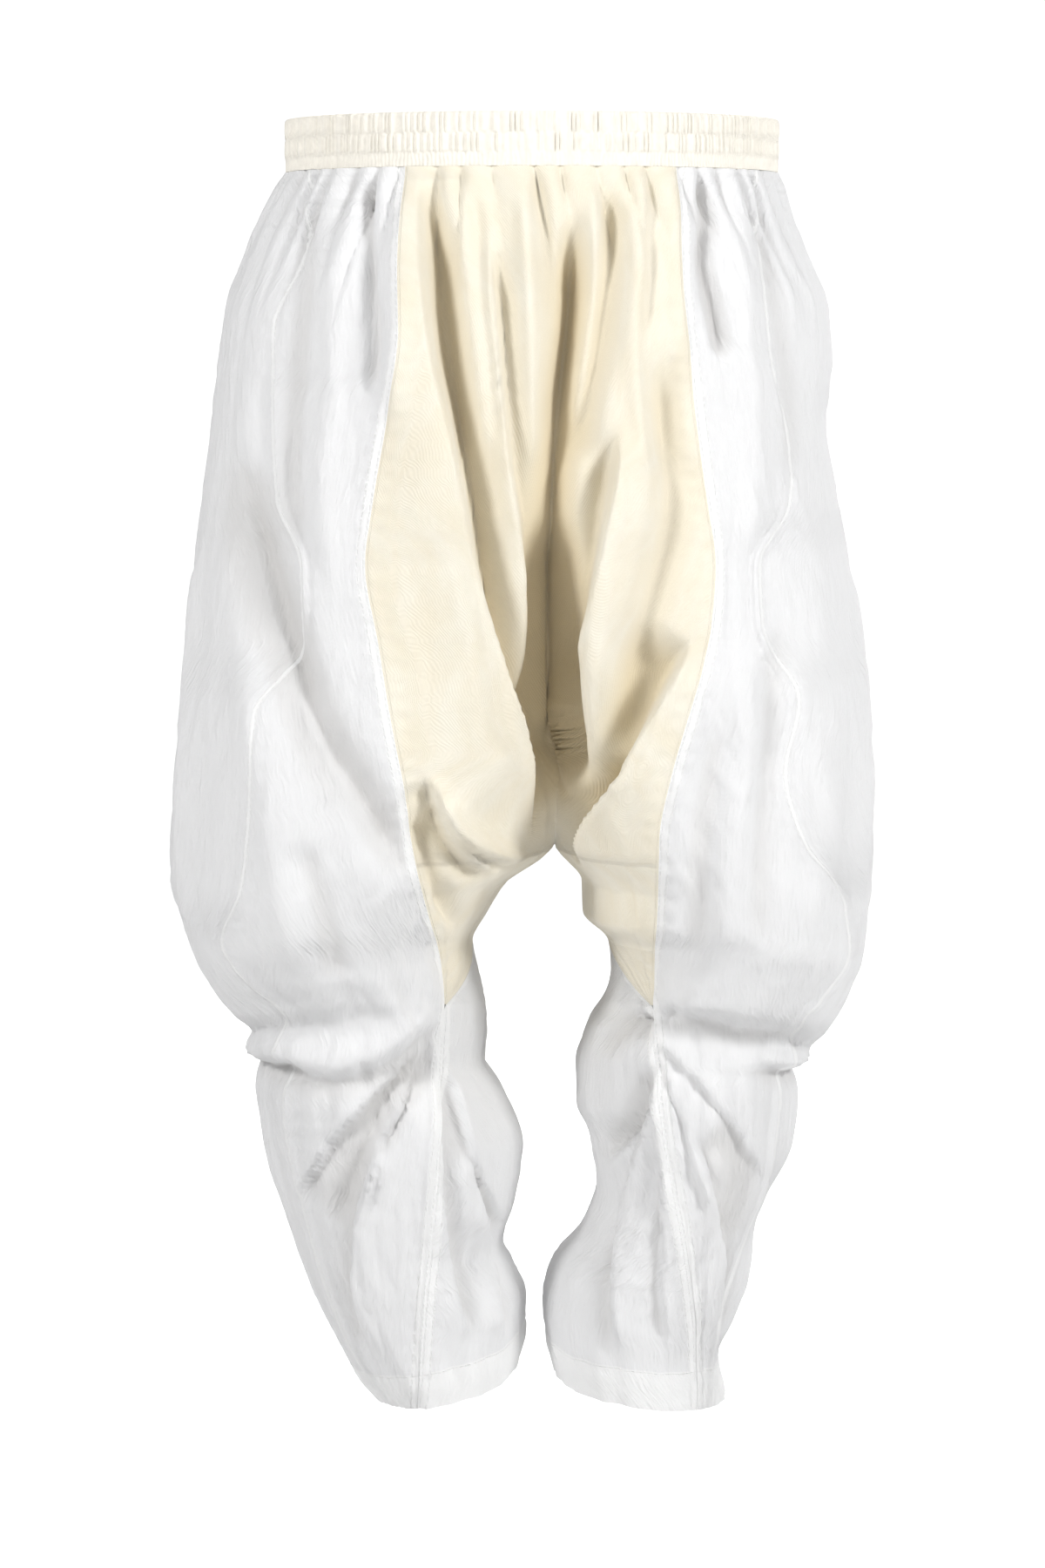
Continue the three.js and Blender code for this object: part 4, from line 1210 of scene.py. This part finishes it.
class Waistband:
    """The elastic band: ruched rows over a flat stitched strip."""

    PLEATS = 110
    PLEAT_HEIGHT = 1.15
    ROWS = 2
    ROW_SWELL = 0.7
    ROW_SINK = 0.4
    ROW_SHIFT = 0.35
    TIE = 0.3
    SWAY = 0.9
    SHORTEST = 0.55
    STRIP_LIFT = 0.2
    STRIP_RIPPLE, STRIP_RIPPLES = 0.35, 1.7
    MIDDLE_REACH = 9.0
    LINES, COLUMNS = 33, 401

    def __init__(self, tailor: Tailor, cloth: bpy.types.Material) -> None:
        """Takes what the band is made with."""
        self.tailor, self.cloth = tailor, cloth

    def surface(self, side: Side, angle: Array, z: Array) -> Array:
        """Points of the ruched band.

        Args:
            side: The side.
            angle: Angles round the side.
            z: Heights.

        Returns:
            The points, in millimetres.
        """
        points, out = side.base(angle, z), levelled(side.normal(angle, z))
        start = side.centre(np.full(z.shape, BAND_FOOT))
        turn = angle / (TURN - 2 * start)
        count = (angle - start) / (TURN - 2 * start) * self.PLEATS
        above = z - BAND_FOOT
        ruched = smooth(BAND_STRIP - 1, BAND_STRIP + 2, above)
        height = (BAND_HEIGHT - BAND_STRIP) / self.ROWS
        row = np.floor(np.clip((above - BAND_STRIP) / height, 0, self.ROWS - 0.01))
        within = (above - BAND_STRIP) / height - row
        sway = self.SWAY * noise(turn * 60, row * 3.7, 3.0 + side.out) + self.ROW_SHIFT * row
        length = mix(self.SHORTEST, 1.0, scatter(np.floor(count + sway) + 17 * row + side.out * 5))
        folds = np.cos(TURN * (count + sway)) * length
        tied = np.sin(math.pi * np.clip(within, 0, 1)) ** self.TIE
        stitched = self.ROW_SWELL * tied - self.ROW_SINK
        ripple = TURN * count * self.STRIP_RIPPLES + 2 * noise(turn * 90, above / 5, 9.0)
        band = ruched * (stitched + folds * self.PLEAT_HEIGHT * (0.6 + 0.4 * tied))
        flat = (1 - ruched) * (self.STRIP_LIFT + self.STRIP_RIPPLE * np.cos(ripple))
        return points + out * (band + flat)[..., None]

    def make(self, front: bool, cut: Cut) -> bpy.types.Object:
        """Makes the back or the front half of the band.

        Args:
            front: Whether it is the front half.
            cut: Its flat cut.

        Returns:
            The piece.
        """
        node = "waistband_front" if front else "waistband_back"
        piece = ClothPiece(node, Slot.WAISTBAND, cut, self.cloth)
        rows = np.linspace(BAND_HEIGHT / 2, BAND_FOOT, self.LINES)
        share = np.linspace(0, 1, self.COLUMNS)[None, :]
        points = {}
        for side in (LEFT, RIGHT):
            middle = side.centre(rows)[:, None]
            start = TURN - middle if front else middle
            angle = start + (math.pi - start) * share
            z = np.broadcast_to(rows[:, None], angle.shape).copy()
            points[side.name] = self.surface(side, angle, z)
        meet(points["left"], points["right"], rows, self.MIDDLE_REACH)
        for side in (LEFT, RIGHT):
            grid = Grid(points[side.name], False, False)
            height = np.broadcast_to((rows - BAND_FOOT)[:, None], grid.across.shape)
            piece.add(grid, side.out * (-1 if front else 1), height)
        return piece.make()


POCKETS = Table(("depth",), POCKET_DEPTHS)


@dataclass(frozen=True)
class Finish:
    """How matt and how downy a cloth is."""

    rough: float
    gloss: float
    sheen: float
    sheen_rough: float = 0.5


WHITE = (1, 1, 1, 1)
THREAD_CORE = 0.0002  # half width in metres over which a thread is at its full height


class Nodes:
    """Builds the nodes of a material or a world, a node at a time."""

    def __init__(self, owner: Owner) -> None:
        """Clears the nodes of a new material or world."""
        owner.use_nodes = True
        self.owner, self.tree = owner, owner.node_tree
        self.tree.nodes.clear()

    def node(self, kind: str, values: dict[int | str, Value] | None = None,
             **settings: str) -> bpy.types.Node:
        """Adds a node, with its settings and the values or links of its inputs.

        Args:
            kind: The node's type.
            values: Constants or links, by socket.
            settings: The node's own options.

        Returns:
            The node.
        """
        made = self.tree.nodes.new(kind)
        for name, value in settings.items():
            setattr(made, name, value)
        for key, value in (values or {}).items():
            if isinstance(value, bpy.types.NodeSocket):
                self.tree.links.new(value, made.inputs[key])
            else:
                made.inputs[key].default_value = value
        return made

    def math(self, operation: str, a: Value, b: Value = 0.0, c: Value = 0.0) -> Socket:
        """One sum."""
        return self.node("ShaderNodeMath", {0: a, 1: b, 2: c}, operation=operation).outputs[0]

    def blend(self, share: Value, a: Value, b: Value) -> Socket:
        """A colour between a and b.

        Args:
            share: The share of b.
            a: One colour.
            b: The other colour.

        Returns:
            The colour.
        """
        made = self.node("ShaderNodeMix", data_type="RGBA")
        for index, value in ((0, share), (6, a), (7, b)):
            if isinstance(value, bpy.types.NodeSocket):
                self.tree.links.new(value, made.inputs[index])
            else:
                made.inputs[index].default_value = value
        return made.outputs[2]

    def step(self, value: Value, low: float, high: float, start: float = 0.0,
             end: float = 1.0) -> Socket:
        """A soft step of a value."""
        return self.node("ShaderNodeMapRange", {0: value, 1: low, 2: high, 3: start, 4: end},
                         interpolation_type="SMOOTHSTEP").outputs[0]

    def fact(self, name: str) -> Socket:
        """A fact kept on the mesh's points."""
        return self.node("ShaderNodeAttribute", attribute_name=name).outputs["Fac"]

    def place(self, scale: tuple[float, float, float]) -> Socket:
        """Places on the flat cloth, scaled."""
        uv = self.node("ShaderNodeUVMap", uv_map="UVMap").outputs[0]
        return self.node("ShaderNodeMapping", {"Vector": uv, "Scale": scale}).outputs[0]

    def grain(self, scale: tuple[float, float], detail: float, rough: float = 0.5,
              bend: float = 0.0, kind: str = "FBM") -> Socket:
        """Noise over the flat cloth.

        Args:
            scale: Grains to the metre, across and down.
            detail: How many times it gets finer.
            rough: How strong the finer grains are.
            bend: How far it is distorted.
            kind: The noise's type.

        Returns:
            The noise.
        """
        values = {"Vector": self.place((*scale, 1)), "Scale": 1.0, "Detail": detail,
                  "Roughness": rough, "Distortion": bend}
        return self.node("ShaderNodeTexNoise", values, noise_type=kind).outputs[0]

    def stripes(self, scale: float, direction: str, lean: float = 1.0) -> Socket:
        """Even waves over the flat cloth.

        Args:
            scale: How close they lie.
            direction: Which way they run.
            lean: How much closer they lie down the cloth than across it.

        Returns:
            The waves' height.
        """
        values = {"Vector": self.place((1, lean, 1)), "Scale": scale}
        return self.node("ShaderNodeTexWave", values, wave_type="BANDS",
                         bands_direction=direction).outputs[1]

    def thread(self, away: Socket, place: float, width: float) -> Socket:
        """A row of thread at a distance from a seam or a hem.

        Args:
            away: Distance from the seam or hem.
            place: Where the row lies.
            width: Half its width.

        Returns:
            Where the thread lies.
        """
        off = self.math("ABSOLUTE", self.math("SUBTRACT", away, place))
        return self.step(off, THREAD_CORE, width, 1, 0)

    def shaded(self, colour: Value, shade: Socket) -> Socket:
        """A colour made lighter or darker."""
        return self.node("ShaderNodeHueSaturation", {"Color": colour, "Value": shade}).outputs[0]

    def relief(self, height: Socket, strength: float, distance: float) -> Socket:
        """Normals bent by a height."""
        return self.node("ShaderNodeBump", {"Height": height, "Strength": strength,
                                            "Distance": distance}).outputs[0]

    def mixed(self, share: Value, a: Socket, b: Socket) -> Socket:
        """A shader between a and b."""
        return self.node("ShaderNodeMixShader", {0: share, 1: a, 2: b}).outputs[0]

    def cloth(self, colour: Socket, normal: Socket, glow: Value, finish: Finish) -> Socket:
        """A cloth's shader, part of whose light comes through from behind.

        Args:
            colour: The cloth's colour.
            normal: Its bent normals.
            glow: The share of light that comes through.
            finish: How matt it is.

        Returns:
            The shader.
        """
        solid = self.node("ShaderNodeBsdfPrincipled", {
            "Base Color": colour, "Roughness": finish.rough, "Specular IOR Level": finish.gloss,
            "Sheen Weight": finish.sheen, "Sheen Roughness": finish.sheen_rough,
            "Normal": normal}).outputs[0]
        through = self.node("ShaderNodeBsdfTranslucent", {"Color": colour, "Normal": normal}).outputs[0]
        return self.mixed(glow, solid, through)

    def holed(self, share: Value, shader: Socket) -> Socket:
        """A shader with a share of clear holes."""
        gaps = self.node("ShaderNodeBsdfTransparent", {"Color": WHITE}).outputs[0]
        return self.mixed(share, shader, gaps)

    def finish(self, shader: Socket) -> Owner:
        """Ends the material or world with its shader."""
        kind = "World" if isinstance(self.owner, bpy.types.World) else "Material"
        self.node("ShaderNodeOutput" + kind, {"Surface": shader})
        return self.owner


@dataclass(frozen=True)
class WhiteCloth:
    """Sheer washed white cotton, opaque where seams and hems double it."""

    colour: tuple[float, float, float, float] = (0.955, 0.955, 0.96, 1)
    double: tuple[float, float, float, float] = (0.975, 0.975, 0.97, 1)
    # painted shade: the grey that the cloth is drawn towards where it lies back in a fold
    painted_fold_shade: tuple[float, float, float, float] = (0.70, 0.68, 0.655, 1)
    clear: float = 0.05
    glow: float = 0.17
    strip: float = 0.0075
    hem: float = HEM_TURN_UP * MM
    edge: float = 0.0006
    thread: float = 0.0006
    wash_high: float = 0.72
    fine_high: float = 0.55
    weave_high: float = 0.14
    stitch_deep: float = 0.35

    def material(self, name: str) -> bpy.types.Material:
        """Makes the node material.

        Args:
            name: The material's name.

        Returns:
            The material.
        """
        n = Nodes(bpy.data.materials.new(name))
        first, last, hem = n.fact("first_seam"), n.fact("last_seam"), n.fact("above_hem")
        near = n.math("MINIMUM", first, last)
        strip = n.step(near, self.strip - self.edge, self.strip + self.edge, 1, 0)
        turned = n.step(hem, self.hem - self.edge, self.hem + self.edge, 1, 0)
        double = n.math("MAXIMUM", strip, turned)
        weave = self.weave(n)
        wash = n.grain((170, 30), 4.0, 0.62, 0.7, "RIDGED_MULTIFRACTAL")
        fine = n.grain((460, 90), 1.0)
        # Painted shade: the deeper a place lies back in a fold, the more the cloth is drawn towards the grey
        # of the folds.
        recess = n.fact("recess")
        painted_shade_share = n.math("ADD", n.step(recess, 0.001, 0.024, 0, 0.6), n.step(recess, 0.0, 0.005, 0, 0.25))
        plain = n.blend(painted_shade_share, self.colour, self.painted_fold_shade)
        base = n.blend(n.math("MULTIPLY", double, 0.8), plain, self.double)
        # Painted shade along the crinkles: the colour is lighter where the crinkle stands high and darker
        # where it sinks.
        colour = n.shaded(base, n.step(wash, 0.2, 1.6, 0.96, 1.03))
        crinkle = n.math("MULTIPLY_ADD", wash, self.wash_high, n.math("MULTIPLY", fine, self.fine_high))
        height = n.math("ADD", crinkle, n.math("MULTIPLY", weave, self.weave_high))
        stitch = self.stitches(n, near, hem)
        height = n.math("SUBTRACT", height, n.math("MULTIPLY", stitch, self.stitch_deep))
        glow = n.step(double, 0, 1, self.glow, self.glow * 0.6)
        lit = n.cloth(colour, n.relief(height, 0.8, 0.0020), glow, Finish(0.86, 0.18, 0.25, 0.6))
        holes = n.math("MULTIPLY", n.step(double, 0, 1, self.clear, self.clear * 0.15),
                       n.step(weave, 0.1, 0.9, 1.25, 0.75))
        return n.finish(n.holed(holes, lit))

    @staticmethod
    def weave(n: Nodes) -> Socket:
        """Plain weave, two threads to 0.8 mm.

        Args:
            n: The material's nodes.

        Returns:
            The height of the weave.
        """
        return n.math("MULTIPLY", n.stripes(400.0, "X"), n.stripes(400.0, "Y"))

    def stitches(self, n: Nodes, near: Socket, hem: Socket) -> Socket:
        """Rows of stitching beside the seams and along the hem.

        Args:
            n: The material's nodes.
            near: Distance from the nearer seam.
            hem: Height above the hem.

        Returns:
            Where the stitches lie.
        """
        rows = [n.thread(away, place, self.thread) for away, place in
                ((near, 0.0014), (near, self.strip - 0.0008), (hem, self.hem - 0.0018))]
        line = n.math("MAXIMUM", n.math("MAXIMUM", rows[0], rows[1]), rows[2])
        return n.math("MULTIPLY", line, n.step(n.stripes(130.0, "DIAGONAL"), 0.2, 0.5))


@dataclass(frozen=True)
class CreamTwill:
    """Opaque cream twill with a fine diagonal rib."""

    light: tuple[float, float, float, float] = (0.79, 0.75, 0.645, 1)
    # the darker tone, used for painted shade in the folds and for the low places of the wash
    painted_shade_and_low_tone: tuple[float, float, float, float] = (0.70, 0.60, 0.41, 1)
    glow: float = 0.05

    def material(self, name: str) -> bpy.types.Material:
        """Makes the node material.

        Args:
            name: The material's name.

        Returns:
            The material.
        """
        n = Nodes(bpy.data.materials.new(name))
        near = n.math("MINIMUM", n.fact("first_seam"), n.fact("last_seam"))
        rib = n.stripes(330.0, "DIAGONAL", 0.62)
        wash = n.grain((34, 16), 3.0, 0.6)
        fleck = n.grain((900, 900), 2.0)
        # Darker where the wash noise is low, which is also where its bump is low.
        low_wash = n.step(wash, 0.3, 0.72, 1, 0)
        # Painted shade: the deeper a place lies back in a fold, the more the cream is drawn towards the
        # darker tone.
        recess = n.fact("recess")
        painted_shade_share = n.math("ADD", n.step(recess, 0.0, 0.034, 0.0, 0.65), n.step(recess, 0.0, 0.006, 0.0, 0.2))
        base = n.blend(n.math("MAXIMUM", n.math("MULTIPLY", low_wash, 0.3), painted_shade_share), self.light, self.painted_shade_and_low_tone)
        colour = n.shaded(base, n.math("MULTIPLY_ADD", fleck, 0.10, 0.95))
        height = n.math("MULTIPLY_ADD", wash, 1.1, n.math("MULTIPLY", rib, 0.22))
        height = n.math("SUBTRACT", height, n.math("MULTIPLY", n.thread(near, 0.0016, 0.0007), 0.7))
        normal = n.relief(height, 0.6, 0.0010)
        return n.finish(n.cloth(colour, normal, self.glow, Finish(0.8, 0.2, 0.3)))


@dataclass(frozen=True)
class PlainCotton:
    """A closely woven off-white cotton, for the band and the pocket bags."""

    colour: tuple[float, float, float, float]
    glow: float
    clear: float

    def material(self, name: str) -> bpy.types.Material:
        """Makes the node material.

        Args:
            name: The material's name.

        Returns:
            The material.
        """
        n = Nodes(bpy.data.materials.new(name))
        weave = WhiteCloth.weave(n)
        wash = n.grain((150, 110), 4.0)
        colour = n.shaded(self.colour, n.step(wash, 0.3, 0.7, 0.95, 1.03))
        height = n.math("MULTIPLY_ADD", wash, 0.8, n.math("MULTIPLY", weave, 0.2))
        normal = n.relief(height, 0.6, 0.0008)
        lit = n.cloth(colour, normal, self.glow, Finish(0.85, 0.2, 0.2))
        return n.finish(n.holed(self.clear, lit))


@dataclass(frozen=True)
class Softbox:
    """A square soft light: where it stands, what it faces, its side and its watts."""

    name: str
    place: tuple[float, float, float]
    aim: tuple[float, float, float]
    size: float
    power: float

    def make(self) -> None:
        """Adds the light."""
        lamp = bpy.data.lights.new(self.name, "AREA")
        lamp.size, lamp.energy = self.size, self.power
        made = bpy.data.objects.new(self.name, lamp)
        made.location = self.place
        way = mathutils.Vector(self.aim) - mathutils.Vector(self.place)
        made.rotation_euler = way.to_track_quat("-Z", "Y").to_euler()
        bpy.context.scene.collection.objects.link(made)


SOFTBOXES = (
    Softbox("key", (-2.0, -2.1, 1.3), (0.0, 0, -0.45), 0.7, 66),
    Softbox("fill", (2.2, -1.9, 1.0), (0, 0, -0.5), 0.7, 70),
    Softbox("back", (0.8, 2.4, 1.0), (0, 0, -0.4), 1.6, 55),
)


@dataclass(frozen=True)
class Studio:
    """White studio: a bright sweep, soft lights and the photograph's camera."""

    floor: float = -1.038
    film: float = 36.0
    camera_place: tuple[float, float, float] = (-0.0078, -3.2, -0.164)
    lens: float = 99.3
    dip: float = math.radians(5.44)
    world: float = 0.32
    backdrop: float = 1.05
    floor_glow: tuple[float, float] = (0.06, 0.72)

    def make(self) -> None:
        """Makes the camera, the lights, the world and the sweep."""
        scene = bpy.context.scene
        camera = bpy.data.cameras.new("camera")
        camera.sensor_fit = "VERTICAL"
        camera.sensor_height = self.film
        camera.lens = self.lens
        seen = bpy.data.objects.new("camera", camera)
        seen.location = self.camera_place
        seen.rotation_euler = (math.pi / 2 - self.dip, 0, 0)
        scene.collection.objects.link(seen)
        scene.camera = seen
        scene.view_settings.view_transform = "Standard"
        scene.view_settings.look = "None"
        for softbox in SOFTBOXES:
            softbox.make()
        self.sky(scene)
        self.sweep(scene)

    def sky(self, scene: bpy.types.Scene) -> None:
        """Lights the scene evenly and shows a pure white behind it.

        Args:
            scene: The scene that gets the world.
        """
        n = Nodes(bpy.data.worlds.new("studio"))
        light = n.node("ShaderNodeBackground", {0: WHITE, 1: self.world}).outputs[0]
        seen = n.node("ShaderNodeBackground", {0: WHITE, 1: self.backdrop}).outputs[0]
        to_camera = n.node("ShaderNodeLightPath").outputs["Is Camera Ray"]
        scene.world = n.finish(n.mixed(to_camera, light, seen))

    def sweep(self, scene: bpy.types.Scene) -> None:
        """Adds the pale floor, which curves up far behind.

        Args:
            scene: The scene that gets the floor.
        """
        n = Nodes(bpy.data.materials.new("sweep"))
        grain = n.node("ShaderNodeTexNoise", {"Scale": 3.0, "Detail": 3.0}).outputs[0]
        shade = n.step(grain, 0.3, 0.7, 0.76, 0.79)
        paper = n.node("ShaderNodeCombineColor", {0: shade, 1: shade, 2: shade}).outputs[0]
        matt = n.node("ShaderNodeBsdfDiffuse", {"Color": paper}).outputs[0]
        seen = n.node("ShaderNodeLightPath").outputs["Is Camera Ray"]
        always, to_camera = self.floor_glow
        strength = n.math("MULTIPLY_ADD", seen, to_camera, always)
        bright = n.node("ShaderNodeEmission", {"Strength": strength}).outputs[0]
        both = n.node("ShaderNodeAddShader", {0: matt, 1: bright}).outputs[0]
        material = n.finish(both)
        wide, near, far, radius, steps = 9.0, -3.0, 4.0, 3.0, 24
        profile = [(near, self.floor)]
        for i in range(steps + 1):
            turn = math.pi / 2 * i / steps
            profile.append((far + radius * math.sin(turn),
                            self.floor + radius * (1 - math.cos(turn))))
        profile.append((far + radius, self.floor + 7.0))
        points = [(x, y, z) for y, z in profile for x in (-wide, wide)]
        faces = [(2 * i, 2 * i + 1, 2 * i + 3, 2 * i + 2) for i in range(len(profile) - 1)]
        mesh = bpy.data.meshes.new("sweep")
        mesh.from_pydata(points, [], faces)
        mesh.materials.append(material)
        mesh.shade_smooth()
        floor = bpy.data.objects.new("sweep", mesh)
        scene.collection.objects.link(floor)


MESH = Mesh()
WHITE_CRINKLE = Crinkle(1.4, 15, 46, 2.4, 36, 130, 0.5, 1.0)
CREAM_CRINKLE = Crinkle(0.35, 16, 44, 1.3, 30, 90, 0.5, 4.0)
BAND_CUT = Cut(0.66, 0.04, 0.0248, Held.GATHERED)
CREAM_BACK_CUT = Cut(0.47, 0.81, 0.22, Held.GATHERED, ("waistband_back",))
CREAM_FRONT_CUT = Cut(0.38, 0.77, 0.17, Held.GATHERED, ("waistband_front",))
LEFT_CUTS = {
    "back_panel": Cut(0.19, 1.03, 0.10, Held.HUNG, ("waistband_back",)),
    "side_panel": Cut(0.41, 1.03, 0.257, Held.HUNG, ("waistband_back", "waistband_front")),
    "front_panel": Cut(0.18, 1.0, 0.092, Held.HUNG, ("waistband_front",)),
    "inner_leg_panel": Cut(0.28, 0.41, 0.076, Held.HUNG, ("centre_back_panel", "centre_front_panel")),
}
RIGHT_CUTS = {
    "back_panel": Cut(0.18, 1.06, 0.084, Held.HUNG, ("waistband_back",)),
    "side_panel": Cut(0.39, 1.06, 0.235, Held.HUNG, ("waistband_back", "waistband_front")),
    "front_panel": Cut(0.17, 1.02, 0.075, Held.HUNG, ("waistband_front",)),
    "inner_leg_panel": Cut(0.34, 0.44, 0.095, Held.HUNG, ("centre_back_panel", "centre_front_panel")),
}
POCKET_CUT = Cut(0.21, 0.24, 0.042, Held.HUNG, ("waistband_back",))


def main() -> None:
    """Builds the studio and the trousers, piece by piece."""
    logging.basicConfig(level=logging.INFO, format="%(message)s")
    Studio().make()
    white = WhiteCloth().material("white_cloth")
    cream = CreamTwill().material("cream_twill")
    band = PlainCotton((0.87, 0.835, 0.755, 1), 0.06, 0.0).material("waistband")
    pocket = PlainCotton((0.85, 0.85, 0.86, 1), 0.3, 0.03).material("pocket_cloth")
    tailor = Tailor(MESH)
    waistband = Waistband(tailor, band)
    centre = CreamPanel(tailor, cream, CREAM_CRINKLE)
    for front in (False, True):
        waistband.make(front, BAND_CUT)
        centre.make(front, CREAM_FRONT_CUT if front else CREAM_BACK_CUT)
    for side, cuts in ((LEFT, LEFT_CUTS), (RIGHT, RIGHT_CUTS)):
        LegPanels(side, tailor, white, WHITE_CRINKLE).make(cuts)
        PocketBag(side, tailor, pocket).make(POCKET_CUT)
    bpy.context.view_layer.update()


if __name__ == "__main__":
    main()
